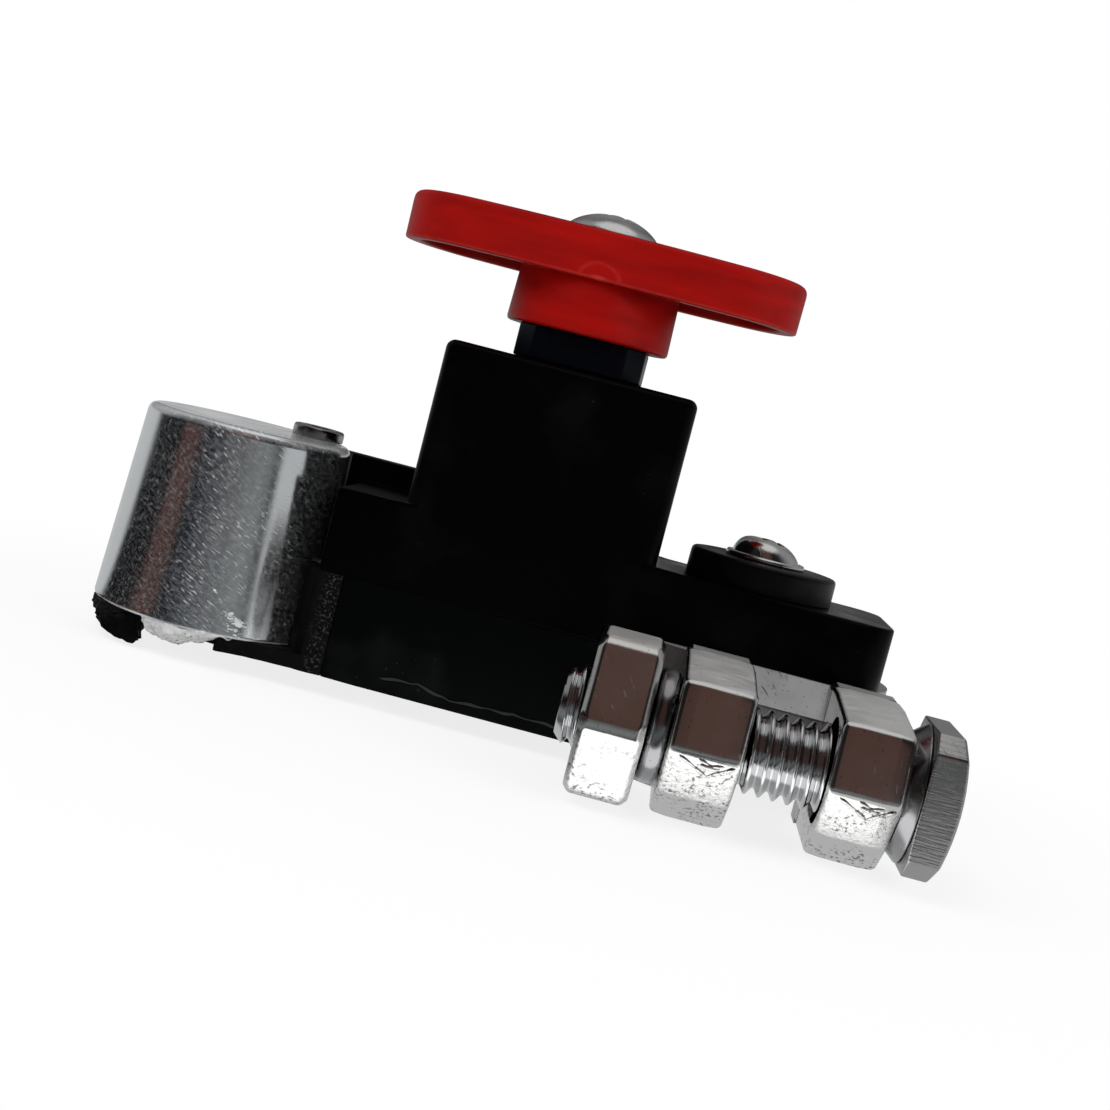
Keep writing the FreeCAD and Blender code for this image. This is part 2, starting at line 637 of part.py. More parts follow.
def knob_outline(sketch, inset):
    """Two bowed sides and two blunt round ends, each an arc through three bound points."""
    reach = "shoulder_reach - " + inset
    half = "shoulder_half - " + inset
    bulge = "side_bulge - " + inset
    tip = "knob_half - " + inset
    corners = [(reach, half), (minus(reach), half), (minus(reach), minus(half)),
               (reach, minus(half))]
    middles = [("0", bulge), (minus(tip), "0"), ("0", minus(bulge)), (tip, "0")]
    spots = [FreeCAD.Vector(size(x), size(y), 0) for x, y in corners + middles]
    ends = []
    for n in range(4):
        arc = Part.Arc(spots[n], spots[4 + n], spots[(n + 1) % 4])
        sketch.addGeometry(arc, False)
        first = sketch.Geometry[n].StartPoint
        starts_here = (first - spots[n]).Length < SMALL
        ends.append((1, 2) if starts_here else (2, 1))
    for n in range(4):
        following = (n + 1) % 4
        sketch.addConstraint(Sketcher.Constraint(
            "Coincident", n, ends[n][1], following, ends[following][0]))
        pin_point(sketch, n, ends[n][0], *corners[n])
        middle = sketch.addGeometry(Part.Point(spots[4 + n]), True)
        pin_point(sketch, middle, 1, *middles[n])
        sketch.addConstraint(Sketcher.Constraint("PointOnObject", middle, 1, n))
    return sketch


def make_knob():
    """Two-winged turning knob: flat wings hollowed from below, and a round hub."""
    body = doc.addObject("PartDesign::Body", "knob_body")
    wing_low = "body_lift + wing_rise"
    wings = pad(body, "wings", knob_outline(new_sketch(body, "wing_outline", "XY_Plane",
                                                       wing_low), "0"), "wing_thick")
    top = size(wing_low + " + wing_thick")
    bevel_edges(body, "wing_bevel", wings, "knob_edge", lambda edge: is_level(edge, top))
    hollow = knob_outline(new_sketch(body, "hollow_outline", "XY_Plane", wing_low), "knob_rim")
    pocket(body, "hollow", hollow, "pocket_depth")
    hub = circle(new_sketch(body, "hub_outline", "XY_Plane", "body_lift + hub_rise"), "0", "0",
                 "hub_radius")
    pad(body, "hub", hub, "wing_rise - hub_rise + pocket_depth")
    socket = polygon(new_sketch(body, "socket_outline", "XY_Plane", "body_lift + hub_rise"), [
        ("- tang_across*0.5 - fit_gap", "- tang_across*0.5 - fit_gap"),
        ("tang_across*0.5 + fit_gap", "- tang_across*0.5 - fit_gap"),
        ("tang_across*0.5 + fit_gap", "tang_across*0.5 + fit_gap"),
        ("- tang_across*0.5 - fit_gap", "tang_across*0.5 + fit_gap")])
    pocket(body, "socket", socket, SOCKET_DEPTH)
    hole = circle(new_sketch(body, "knob_hole_outline", "XY_Plane", "body_lift + hub_rise"),
                  "0", "0", "turn_screw_shank + fit_gap")
    pocket(body, "knob_hole", hole, "wing_rise")
    keep("knob", body, **SWITCH)


def dome_screw(node, head, dome, shank, length, z, x, y):
    """Round-topped screw standing on z, with its shank below."""
    ball_radius = f"(Sizes.{head} ^ 2 + Sizes.{dome} ^ 2) / (2 * Sizes.{dome})"
    ball = doc.addObject("Part::Sphere", node + "_ball")
    ball.setExpression("Radius", ball_radius)
    ball.setExpression("Placement.Base.z", f"Sizes.{dome} - {ball_radius}")
    head_disc = rod(node + "_disc", head, dome)
    dome_head = common(node + "_dome", ball, head_disc)
    shank_rod = rod(node + "_shank", shank, length, z=minus(length))
    keep(node, fuse(node + "_shape", dome_head, shank_rod), x, y, z)


def make_cap():
    """Round boss on the right arm, held by the screw that ties the arm to the clamp."""
    disc = rod("cap_disc", "cap_radius", "cap_height")
    rounded = edge_round("cap_bevelled", disc, "cap_edge",
                         lambda edge: is_level(edge, size("cap_height")), "Part::Chamfer")
    hole = rod("cap_disc_hole", "cap_screw_shank + fit_gap", "cap_height*2",
               z="- cap_height*0.5")
    keep("terminal_cap", cut("cap_shape", rounded, hole), "- knob_spacing + cap_side",
         "- clamp_setback", ARM_TOP)


def hexagon(name, thick):
    """Six-sided block with its axis along X, its sides turned as seen on the bolt."""
    prism = doc.addObject("Part::Prism", name)
    prism.Polygon = 6
    prism.setExpression("Circumradius", "Sizes.nut_across / 3 ^ 0.5")
    bind(prism, Height=thick)
    spin = FreeCAD.Rotation(Y_AXIS, 90).multiply(FreeCAD.Rotation(Z_AXIS, size("nut_angle")))
    prism.Placement = FreeCAD.Placement(FreeCAD.Vector(), spin)
    return prism


NUT_FACE = "- ear_left - lock_ring_thick"
# radius just inside the corners of the nut, and the bevel of its round ends
NUT_ROUNDING = "nut_across*0.56"
NUT_BEVEL = "nut_across*0.06"


def make_bolt_hardware():
    """Pinch bolt through the ears, with its nut, lock ring and dished collar."""
    bolt_at = {"y": "- bolt_forward", "z": "bolt_rise"}
    ring_outer = rod("lock_outer", "lock_ring_radius", "lock_ring_thick", axis=Y_AXIS, angle=90)
    ring_inner = rod("lock_inner", "bolt_radius + rest_gap", "lock_ring_thick*3",
                     "- lock_ring_thick", axis=Y_AXIS, angle=90)
    ring_split = box("lock_split", "lock_ring_thick*3", "lock_ring_radius*2",
                     "lock_ring_thick*0.5", "- lock_ring_thick", "0",
                     "- lock_ring_thick*0.25")
    keep("lock_washer", cut("lock_shape", ring_outer, ring_inner, ring_split), NUT_FACE,
         **bolt_at)
    rounding = rod("nut_rounding", NUT_ROUNDING, "nut_thick", axis=Y_AXIS, angle=90)
    bevelled = edge_round("nut_rounded", rounding, NUT_BEVEL,
                          lambda edge: is_ring(edge) and span(edge).XLength < SMALL,
                          "Part::Chamfer")
    nut_body = common("nut_body", hexagon("nut_prism", "nut_thick"), bevelled)
    nut_hole = rod("nut_hole", "bolt_radius + fit_gap", "nut_thick*3", "- nut_thick",
                   axis=Y_AXIS, angle=90)
    keep("clamp_nut", cut("nut_shape", nut_body, nut_hole), NUT_FACE + " - nut_thick",
         **bolt_at)
    ears_right = "- ear_left + ear_width*2 + ear_gap"
    collar = turn(doc.addObject("Part::Cone", "collar_cone"), Y_AXIS, 90)
    bind(collar, Radius1="collar_root", Radius2="collar_radius", Height="collar_thick")
    collar_hole = rod("collar_hole", "bolt_radius + fit_gap", "collar_thick*3",
                      "- collar_thick", axis=Y_AXIS, angle=90)
    keep("bolt_collar", cut("collar_shape", collar, collar_hole), ears_right, **bolt_at)
    head_low = ears_right + " + collar_thick"
    block = box("head_block", "head_thick", "head_across", "head_across", "0",
                "- head_across*0.5", "- head_across*0.5")
    bevels = edge_round("head_bevels", block, "head_bevel",
                        lambda edge: span(edge).YLength < SMALL and span(edge).ZLength < SMALL,
                        "Part::Chamfer")
    crown_radius = ("(Sizes.head_across ^ 2 / 4 + Sizes.head_crown ^ 2)"
                    " / (2 * Sizes.head_crown)")
    crown = turn(doc.addObject("Part::Cylinder", "head_crown_roll"), X_AXIS, 90)
    crown.setExpression("Radius", crown_radius)
    crown.setExpression("Placement.Base.x", "Sizes.head_thick - " + crown_radius)
    bind(crown, Height="head_across*2")
    crown.setExpression("Placement.Base.y", "Sizes.head_across")
    head = common("head", bevels, crown)
    tail = "nut_thick + lock_ring_thick + bolt_tail + ear_width*2 + ear_gap + collar_thick"
    shank = rod("bolt_shank", "bolt_radius", tail, minus(tail),
                axis=Y_AXIS, angle=90)
    keep("clamp_bolt", fuse("bolt_shape", head, shank), head_low, **bolt_at)


make_housing()
make_base_cover()
make_base_screws()
make_potting()
make_post()
make_post_stud()
make_clamp()
make_contacts()
make_bridge()
make_contact_spring()
make_rotor()
make_seal()
make_detent()
make_knob()
dome_screw("knob_screw", "turn_screw_head", "turn_screw_dome", "turn_screw_shank",
           "turn_screw_length - screw_tip_room", KNOB_TOP, **SWITCH)
make_cap()
dome_screw("cap_screw", "cap_screw_head", "cap_screw_dome", "cap_screw_shank",
           "cap_height + arm_rise - arm_floor + plate_thick - screw_tip_room",
           ARM_TOP + " + cap_height", "- knob_spacing + cap_side", "- clamp_setback")
make_bolt_hardware()

doc.recompute()
for item in doc.Objects:
    if {"Invalid", "Error"} & set(item.State):
        raise RuntimeError(f"{item.Name} did not build: {item.State}")
for node, item in parts.items():
    if item.Shape.isNull() or not item.Shape.isValid():
        raise RuntimeError(node + " has no valid shape")

os.makedirs("parts", exist_ok=True)
for node, item in parts.items():
    item.Shape.exportStep(f"parts/{node}.step")
    extent = item.Shape.BoundBox
    print(f"{node}: {len(item.Shape.Solids)} solid, volume {item.Shape.Volume:.1f}, "
          f"x {extent.XMin:.2f} {extent.XMax:.2f}, y {extent.YMin:.2f} {extent.YMax:.2f}, "
          f"z {extent.ZMin:.2f} {extent.ZMax:.2f}")
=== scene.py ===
"""Finish of the battery disconnect switch: mouldings, plated castings, thread and screws."""
import json
import math

import bmesh
import bpy
from mathutils import Matrix, Vector, noise


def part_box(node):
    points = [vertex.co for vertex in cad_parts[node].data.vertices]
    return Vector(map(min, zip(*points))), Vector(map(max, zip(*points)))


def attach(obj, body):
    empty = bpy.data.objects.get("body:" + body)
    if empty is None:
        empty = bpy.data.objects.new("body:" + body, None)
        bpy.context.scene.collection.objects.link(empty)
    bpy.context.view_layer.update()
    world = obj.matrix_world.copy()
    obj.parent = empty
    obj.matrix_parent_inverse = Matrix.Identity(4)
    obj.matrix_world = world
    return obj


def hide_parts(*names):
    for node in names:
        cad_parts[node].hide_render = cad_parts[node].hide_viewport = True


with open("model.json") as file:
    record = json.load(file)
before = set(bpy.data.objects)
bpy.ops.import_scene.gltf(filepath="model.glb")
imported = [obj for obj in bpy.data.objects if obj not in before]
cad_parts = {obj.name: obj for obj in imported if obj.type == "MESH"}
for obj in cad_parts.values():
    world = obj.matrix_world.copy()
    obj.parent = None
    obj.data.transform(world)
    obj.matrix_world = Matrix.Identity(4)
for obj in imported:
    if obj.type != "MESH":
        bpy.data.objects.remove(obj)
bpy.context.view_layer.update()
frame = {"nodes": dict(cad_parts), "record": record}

MM = 0.001
FULL_TURN = 2 * math.pi
X_AXIS, Y_AXIS, Z_AXIS = Vector((1, 0, 0)), Vector((0, 1, 0)), Vector((0, 0, 1))
FACET_MERGE, POINT_MERGE = 0.002 * MM, 0.0005 * MM

BODIES = {name: body for body, names in frame["record"]["behaviour"]["bodies"].items()
          for name in names}

# knob, in millimetres as all sizes and places that follow
KNOB_AXIS = Vector((-18.2, -1.5, 0.0))
KNOB_TOP = 38.55
WING_LOW = 34.8
WING_HALF = 15.5
SHOULDER = Vector((10.9, 5.9))
SIDE_BULGE = 6.95
KNOB_MARK = Vector((-18.0, -8.45, 34.95))

# pinch bolt and its fittings, from tail to head
BOLT_AXIS = Vector((0.0, -19.1, 5.97))
BOLT_RADIUS = 3.0
THREAD_PITCH = 1.0
BOLT_TAIL, NUT_LOW, WASHER_LOW, WASHER_HIGH = -12.55, -11.05, -6.55, -4.95
COLLAR_LOW, HEAD_LOW = 10.98, 12.03

# clamp ears: (y, z, corner radius) round the outline, then (from x, to x, hole radius) of each
EAR_OUTLINE = [(-10.9, 0.0, 0.2), (-19.1, 0.0, 0.9), (-21.7, 2.1, 0.8), (-23.9, 5.45, 0.9),
               (-22.8, 10.15, 0.9), (-14.0, 10.8, 0.8), (-10.9, 10.8, 0.2)]
EARS = ((-4.96, 0.16, 3.05), (5.87, 10.99, 3.75))
EAR_SPLIT = -11.0

# post and cap
POST_AXIS = Vector((-41.9, -1.5, 0.0))
POST_LOW, POST_TOP = 2.36, 17.86
CAP_AXIS = Vector((-0.6, -1.5, 0.0))

# draw of the noise that roughens the resin and the torn metal, the same in every run
CRUMPLE_SEED = 1


# node trees
def node(tree, kind, inputs=None, **settings):
    """Add one shader node. Inputs are plain values or the sockets that feed them."""
    made = tree.nodes.new("ShaderNode" + kind)
    for key, value in settings.items():
        setattr(made, key, value)
    for key, value in (inputs or {}).items():
        if isinstance(value, bpy.types.NodeSocket):
            tree.links.new(value, made.inputs[key])
        else:
            made.inputs[key].default_value = value
    return made


def blank_material(name):
    material = bpy.data.materials.new(name)
    material.use_nodes = True
    material.node_tree.nodes.clear()
    return material, material.node_tree


def finish_surface(tree, shader):
    tree.links.new(shader, node(tree, "OutputMaterial").inputs["Surface"])


def mix_color(tree, factor, first, second):
    return node(tree, "Mix", {0: factor, 6: first, 7: second}, data_type="RGBA").outputs[2]


def remap(tree, value, low, high, to_low=0.0, to_high=1.0, smooth=False):
    return node(tree, "MapRange", {"Value": value, "From Min": low, "From Max": high,
                                   "To Min": to_low, "To Max": to_high},
                interpolation_type="SMOOTHSTEP" if smooth else "LINEAR").outputs["Result"]


def math_node(tree, operation, first, second=0.0):
    return node(tree, "Math", {0: first, 1: second}, operation=operation).outputs[0]


def times(tree, first, second):
    return math_node(tree, "MULTIPLY", first, second)


def plus(tree, first, second):
    return math_node(tree, "ADD", first, second)


def highest(tree, first, *others):
    for other in others:
        first = math_node(tree, "MAXIMUM", first, other)
    return first


def away_from(tree, value, centre):
    """How far a value lies from a centre value, to either side."""
    return math_node(tree, "ABSOLUTE", math_node(tree, "SUBTRACT", value, centre))


def vector_node(tree, operation, first, second=(0, 0, 0), output="Vector"):
    return node(tree, "VectorMath", {0: first, 1: second}, operation=operation).outputs[output]


def part_of(tree, vector, axis):
    return node(tree, "SeparateXYZ", {"Vector": vector}).outputs[axis]


def clouds(tree, where, scale, detail, **inputs):
    """Smooth noise; a scale for each axis stretches it."""
    if isinstance(scale, tuple):
        where = node(tree, "Mapping", {"Vector": where, "Scale": scale}).outputs["Vector"]
        scale = 1.0
    return node(tree, "TexNoise", {"Vector": where, "Scale": scale, "Detail": detail,
                                   **inputs}).outputs["Fac"]


def place_of(tree, output="Object"):
    return node(tree, "TexCoord").outputs[output]


def bump(tree, height, strength, distance, **normal):
    return node(tree, "Bump", {"Height": height, "Strength": strength,
                               "Distance": distance * MM, **normal}).outputs["Normal"]


def new_group(name, inputs, outputs):
    """An empty shader group with named float, colour or vector sockets."""
    kinds = {"value": "NodeSocketFloat", "vector": "NodeSocketVector",
             "color": "NodeSocketColor"}
    group = bpy.data.node_groups.new(name, "ShaderNodeTree")
    group.interface.new_socket("Vector", in_out="INPUT", socket_type=kinds["vector"])
    for label, start in inputs.items():
        socket = group.interface.new_socket(label, in_out="INPUT", socket_type=kinds["value"])
        socket.default_value = start
    for label, kind in outputs.items():
        group.interface.new_socket(label, in_out="OUTPUT", socket_type=kinds[kind])
    given = group.nodes.new("NodeGroupInput").outputs
    return group, given, group.nodes.new("NodeGroupOutput").inputs


def grain_group():
    """Fine uneven grain of a moulded or cast skin, and broad blotches of gloss."""
    group, given, result = new_group("skin_grain", {"Fine": 3000.0, "Broad": 200.0},
                                     {"Height": "value", "Blotch": "value"})
    group.links.new(clouds(group, given["Vector"], given["Fine"], 3.0), result["Height"])
    group.links.new(clouds(group, given["Vector"], given["Broad"], 4.0), result["Blotch"])
    return group


def scratch_group():
    """Short thin strokes that all run one way, as handling leaves them on plating."""
    group, given, result = new_group(
        "scratches", {"Turn": 0.8, "Across": 4000.0, "Along": 700.0, "Cutoff": 0.66},
        {"Mask": "value"})
    turned = node(group, "VectorRotate", {"Vector": given["Vector"], "Angle": given["Turn"]},
                  rotation_type="Z_AXIS").outputs["Vector"]
    scale = node(group, "CombineXYZ", {"X": given["Along"], "Y": given["Across"],
                                       "Z": given["Along"]}).outputs["Vector"]
    strokes = clouds(group, vector_node(group, "MULTIPLY", turned, scale), 1.0, 1.0)
    over = math_node(group, "SUBTRACT", strokes, given["Cutoff"])
    group.links.new(remap(group, over, 0.0, 0.06), result["Mask"])
    return group


def speck_group():
    """Sparse small specks, used as dust on black pieces and as pin holes in plating."""
    group, given, result = new_group("specks", {"Scale": 1500.0, "Size": 0.1},
                                     {"Mask": "value"})
    cells = node(group, "TexVoronoi", {"Vector": given["Vector"], "Scale": given["Scale"]})
    chance = node(group, "SeparateColor", {"Color": cells.outputs["Color"]}).outputs["Red"]
    near = math_node(group, "LESS_THAN", cells.outputs["Distance"], given["Size"])
    rare = math_node(group, "GREATER_THAN", chance, 0.7)
    group.links.new(times(group, near, rare), result["Mask"])
    return group


GRAIN = grain_group()
SCRATCHES = scratch_group()
SPECKS = speck_group()


def use_group(tree, group, **values):
    """Place a shared effect in a material with the material's own values."""
    return node(tree, "Group", values, node_tree=group).outputs


# materials
def black_moulding(name, color, dusty, gloss, dust=0.5, coarse=0.02, specular=0.35,
                   seam_at=None):
    """Black moulded plastic with uneven gloss, fine grain and a little dust.

    Where a seam is given, by its x, loose grains of dust gather along it.
    """
    material, tree = blank_material(name)
    where = place_of(tree)
    grain = use_group(tree, GRAIN, Vector=where, Fine=2600.0, Broad=260.0)
    specks = use_group(tree, SPECKS, Vector=where, Scale=1500.0, Size=0.11)
    dust_zone = remap(tree, clouds(tree, where, 170.0, 5.0), 0.52, 0.7)
    dusted = times(tree, times(tree, specks["Mask"], dust_zone), dust)
    cover = highest(tree, dusted, times(tree, dust_zone, 0.12 * dust))
    if seam_at is not None:
        gap = away_from(tree, part_of(tree, where, "X"), seam_at * MM)
        loose = remap(tree, clouds(tree, where, 5200.0, 3.0), 0.54, 0.7)
        near_seam = remap(tree, gap, 0.2 * MM, 1.0 * MM, 0.4, 0.0)
        cover = highest(tree, cover, times(tree, near_seam, loose))
    shader = node(tree, "BsdfPrincipled", {
        "Base Color": mix_color(tree, cover, (*color, 1), (*dusty, 1)),
        "Roughness": remap(tree, grain["Blotch"], 0.3, 0.7, *gloss),
        "Normal": bump(tree, grain["Height"], 0.25, coarse), "Specular IOR Level": specular})
    finish_surface(tree, shader.outputs["BSDF"])
    return material


def paint_ramp(ramp, stops):
    """Replace the stops of a colour ramp by (position, colour)."""
    while len(ramp.elements) > 1:
        ramp.elements.remove(ramp.elements[0])
    for number, (position, color) in enumerate(stops):
        stop = ramp.elements[0] if number == 0 else ramp.elements.new(position)
        stop.position = position
        stop.color = (*color, 1)


def knob_plastic():
    """Deep red moulding with a round gate marking, faint flow streaks and a painted highlight line
    along the lower edge of the wings.
    """
    material, tree = blank_material("knob_red")
    where = place_of(tree)
    grain = use_group(tree, GRAIN, Vector=where, Fine=2200.0, Broad=180.0)
    reds = node(tree, "ValToRGB", {"Fac": clouds(tree, where, (120.0, 400.0, 900.0), 3.0)})
    paint_ramp(reds.color_ramp, [(0.3, (0.21, 0.0012, 0.0004)), (0.75, (0.31, 0.002, 0.0006))])
    offset = vector_node(tree, "SUBTRACT", where, KNOB_MARK * MM)
    arch = vector_node(tree, "MULTIPLY", offset, (1.0, 1.0, 1.35))
    wedge = vector_node(tree, "MULTIPLY", offset, (0.6, 0.6, 1.8))
    arch_reach = vector_node(tree, "LENGTH", arch, output="Value")
    wedge_reach = vector_node(tree, "LENGTH", wedge, output="Value")
    wobble = clouds(tree, where, 1500.0, 2.0)
    uneven = times(tree, wobble, 0.4 * MM)
    rim = away_from(tree, plus(tree, arch_reach, uneven), 1.7 * MM)
    level = part_of(tree, where, "Z")
    on_side = remap(tree, level, (WING_LOW + 0.05) * MM, (WING_LOW + 0.3) * MM)
    ring = times(tree, remap(tree, rim, 0.0, 0.32 * MM, 0.32, 0.0, smooth=True), on_side)
    core = remap(tree, plus(tree, wedge_reach, uneven), 0.3 * MM, 0.75 * MM, 1.0, 0.0,
                 smooth=True)
    # Painted highlight: a lighter wavy line just above the wings' lower edge, standing in for the
    # light that the rounded edge catches.
    edge = away_from(tree, level, (WING_LOW + 0.12) * MM)
    painted_edge_highlight = times(tree, remap(tree, edge, 0.05 * MM, 0.16 * MM, 0.5, 0.0),
                      remap(tree, wobble, 0.3, 0.6, 0.4, 1.0))
    # The lighter colour and the bump join the real gate marking with the painted edge highlight.
    gate_mark_and_painted_highlight = highest(tree, ring, core, painted_edge_highlight)
    shader = node(tree, "BsdfPrincipled", {
        "Base Color": mix_color(tree, times(tree, gate_mark_and_painted_highlight, 0.3), reds.outputs["Color"],
                                (0.6, 0.07, 0.055, 1)),
        "Roughness": remap(tree, grain["Blotch"], 0.3, 0.7, 0.32, 0.45),
        "Normal": bump(tree, plus(tree, times(tree, grain["Height"], 0.4), gate_mark_and_painted_highlight), 0.35, 0.05),
        "Specular IOR Level": 0.1})
    finish_surface(tree, shader.outputs["BSDF"])
    return material


def plating(name, bright, dull, gloss, strokes=0.5, pits=0.3, grainy=0.02, fine=2400.0,
            satin=0.0, haze=0.0, rough_below=None, shear_depth=0.0):
    """Zinc or chrome plating over metal, with scratches, pin holes and a soft grain.

    Bright, dull, satin and haze are grey levels. Satin dulls upward faces and haze all of
    them. Below a given height the casting is lumpy and stippled. Shear marks run upright.
    """
    material, tree = blank_material(name)
    where = place_of(tree)
    grain = use_group(tree, GRAIN, Vector=where, Fine=fine, Broad=320.0)
    marks = use_group(tree, SCRATCHES, Vector=where, Turn=0.8, Across=5200.0, Along=900.0,
                           Cutoff=0.66)
    holes = use_group(tree, SPECKS, Vector=where, Scale=2600.0, Size=0.16)
    stroke = times(tree, marks["Mask"], remap(tree, grain["Blotch"], 0.42, 0.62))
    upward = part_of(tree, node(tree, "NewGeometry").outputs["Normal"], "Z")
    topside = remap(tree, upward, 0.8, 0.97, haze, max(satin, haze))
    brushed = clouds(tree, where, (500.0, 3500.0, 3500.0), 3.0)
    dulled = times(tree, topside, remap(tree, brushed, 0.3, 0.7, 0.75, 1.15))
    tone = mix_color(tree, grain["Blotch"], (*dull, 1), (*bright, 1))
    tone = mix_color(tree, times(tree, holes["Mask"], pits), tone, (0.05, 0.05, 0.05, 1))
    rough = plus(tree, remap(tree, grain["Blotch"], 0.3, 0.7, *gloss),
                 plus(tree, times(tree, stroke, 0.25), dulled))
    height = math_node(tree, "SUBTRACT", times(tree, grain["Height"], 0.6),
                       times(tree, stroke, strokes))
    normal = bump(tree, height, 0.5, grainy)
    if rough_below is not None:
        under = remap(tree, part_of(tree, where, "Z"), (rough_below - 0.5) * MM,
                      (rough_below + 0.1) * MM, 1.0, 0.0)
        lumps = times(tree, clouds(tree, where, 1900.0, 5.0, Roughness=0.7), under)
        normal = bump(tree, lumps, 0.5, 0.2, Normal=normal)
        dots = times(tree, remap(tree, clouds(tree, where, 3600.0, 2.0), 0.55, 0.65),
                     remap(tree, grain["Blotch"], 0.44, 0.56, 0.0, 0.8))
        tone = mix_color(tree, times(tree, under, dots), tone, (0.06, 0.06, 0.06, 1))
    if shear_depth:
        shear = clouds(tree, where, (500.0, 500.0, 6500.0), 2.0)
        normal = bump(tree, shear, shear_depth, 0.06, Normal=normal)
    shader = node(tree, "BsdfPrincipled", {
        "Base Color": tone, "Metallic": math_node(tree, "SUBTRACT", 1.0, dulled),
        "Roughness": rough, "Normal": normal})
    finish_surface(tree, shader.outputs["BSDF"])
    return material


def worn_post_plating():
    """Chromed post: fine diagonal strokes, specks, a bright scar and a worn lower rim."""
    material, tree = blank_material("plated_post")
    wrap = place_of(tree, "UV")
    where = place_of(tree)
    grain = use_group(tree, GRAIN, Vector=where, Fine=3800.0, Broad=260.0)
    deep = use_group(tree, SCRATCHES, Vector=wrap, Turn=0.5, Across=6200.0, Along=1250.0,
                          Cutoff=0.63)
    faint = use_group(tree, SCRATCHES, Vector=wrap, Turn=0.5, Across=6800.0, Along=1400.0,
                           Cutoff=0.5)
    round_post = remap(tree, part_of(tree, wrap, "X"), -13 * MM, 13 * MM)
    band = node(tree, "ValToRGB", {"Fac": round_post})
    paint_ramp(band.color_ramp, [(at, (level,) * 3) for at, level in (
        (0.25, 0.12), (0.43, 0.3), (0.52, 1.0), (0.76, 0.45))])
    strokes = highest(tree, deep["Mask"], times(tree, faint["Mask"], 0.22))
    patchy = remap(tree, grain["Blotch"], 0.35, 0.6, 0.4, 1.0)
    marked = times(tree, times(tree, strokes, patchy), times(tree, band.outputs["Color"], 0.55))
    dusted = remap(tree, grain["Height"], 0.6, 0.75, 0.0, 0.16)
    scar = times(tree, scar_mask(tree, where), remap(tree, grain["Height"], 0.4, 0.6, 0.35, 0.9))
    level = part_of(tree, where, "Z")
    rim = times(tree, remap(tree, level, (POST_LOW + 0.1) * MM, (POST_LOW + 0.24) * MM, 0.95, 0.0),
                remap(tree, grain["Blotch"], 0.38, 0.55, 0.35, 1.0))
    share = highest(tree, marked, dusted, scar, rim)
    satin = remap(tree, level, (POST_TOP - 0.6) * MM, (POST_TOP - 0.1) * MM, 0.0, 0.3)
    haze = plus(tree, satin, remap(tree, grain["Height"], 0.4, 0.7, 0.004, 0.05))
    covered = math_node(tree, "MINIMUM", plus(tree, share, haze), 1.0)
    height = plus(tree, times(tree, grain["Height"], 0.5), times(tree, share, 0.2))
    shader = node(tree, "BsdfPrincipled", {
        "Base Color": mix_color(tree, grain["Blotch"], (0.62, 0.64, 0.66, 1),
                                (0.74, 0.76, 0.77, 1)),
        "Metallic": math_node(tree, "SUBTRACT", 1.0, covered),
        "Roughness": plus(tree, remap(tree, grain["Blotch"], 0.3, 0.7, 0.12, 0.2),
                          times(tree, share, 0.3)),
        "Normal": bump(tree, height, 0.25, 0.02)})
    finish_surface(tree, shader.outputs["BSDF"])
    return material


def scar_mask(tree, where):
    """A bright scratch that widens into a torn patch near the foot of the post."""
    start = Vector((-39.8, -9.85, 5.7)) * MM
    along = Vector((-37.5, -9.0, 3.2)) * MM - start
    ray = vector_node(tree, "SUBTRACT", where, start)
    share = remap(tree, vector_node(tree, "DOT_PRODUCT", ray, along, "Value"), 0.0,
                  along.length_squared)
    on_line = node(tree, "VectorMath", {0: along, "Scale": share}, operation="SCALE")
    gap = vector_node(tree, "DISTANCE", ray, on_line.outputs["Vector"], "Value")
    shards = node(tree, "Mapping", {"Vector": where, "Rotation": (0, 0.7, 0),
                                    "Scale": (1500.0, 1500.0, 3600.0)}).outputs["Vector"]
    ragged = remap(tree, clouds(tree, shards, 1.0, 3.0), 0.42, 0.62, 0.1, 1.4)
    width = remap(tree, share, 0.35, 0.9, 0.07 * MM, 0.55 * MM)
    return math_node(tree, "LESS_THAN", gap, times(tree, width, ragged))


# pieces
def mesh_data(name, shape, smooth=True):
    for face in shape.faces:
        face.smooth = smooth
    data = bpy.data.meshes.new(name)
    shape.to_mesh(data)
    shape.free()
    return data


def add_piece(name, shape, material, stands_for=(), smooth=True):
    """Make a piece of a shape, let it ride, and let it stand for its solids."""
    data = mesh_data(name, shape, smooth)
    piece = bpy.data.objects.new(name, data)
    bpy.context.scene.collection.objects.link(piece)
    data.materials.append(material)
    body = BODIES[stands_for[0]] if stands_for else "body"
    if stands_for:
        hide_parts(*stands_for)
    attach(piece, body)
    return piece


def copy_of(solid):
    """A copy of a solid's facets, joined where they meet."""
    shape = bmesh.new()
    shape.from_mesh(frame["nodes"][solid].data)
    bmesh.ops.remove_doubles(shape, verts=shape.verts, dist=FACET_MERGE)
    return shape


def soften(solid, material, width):
    """A copy of a solid with its facets joined and its sharp edges rounded."""
    shape = copy_of(solid)
    bmesh.ops.dissolve_limit(shape, angle_limit=math.radians(0.6), verts=shape.verts,
                             edges=shape.edges)
    piece = add_piece(solid + "_finish", shape, material, (solid,))
    bevel = piece.modifiers.new("soft_edges", "BEVEL")
    bevel.width = width * MM
    bevel.segments = 3
    bevel.limit_method = "ANGLE"
    bevel.angle_limit = math.radians(28.0)
    bevel.use_clamp_overlap = False
    bevel.harden_normals = True


def dress(solid, material):
    """Give a carried-over solid its material."""
    piece = frame["nodes"][solid]
    if not piece.material_slots:
        piece.data.materials.append(material)
    for held in piece.material_slots:
        held.material = material


def flat_faces(piece):
    """Keep broad faces flat beside their rounded edges."""
    weighted = piece.modifiers.new("flat_faces", "WEIGHTED_NORMAL")
    weighted.keep_sharp = True
    weighted.weight = 100


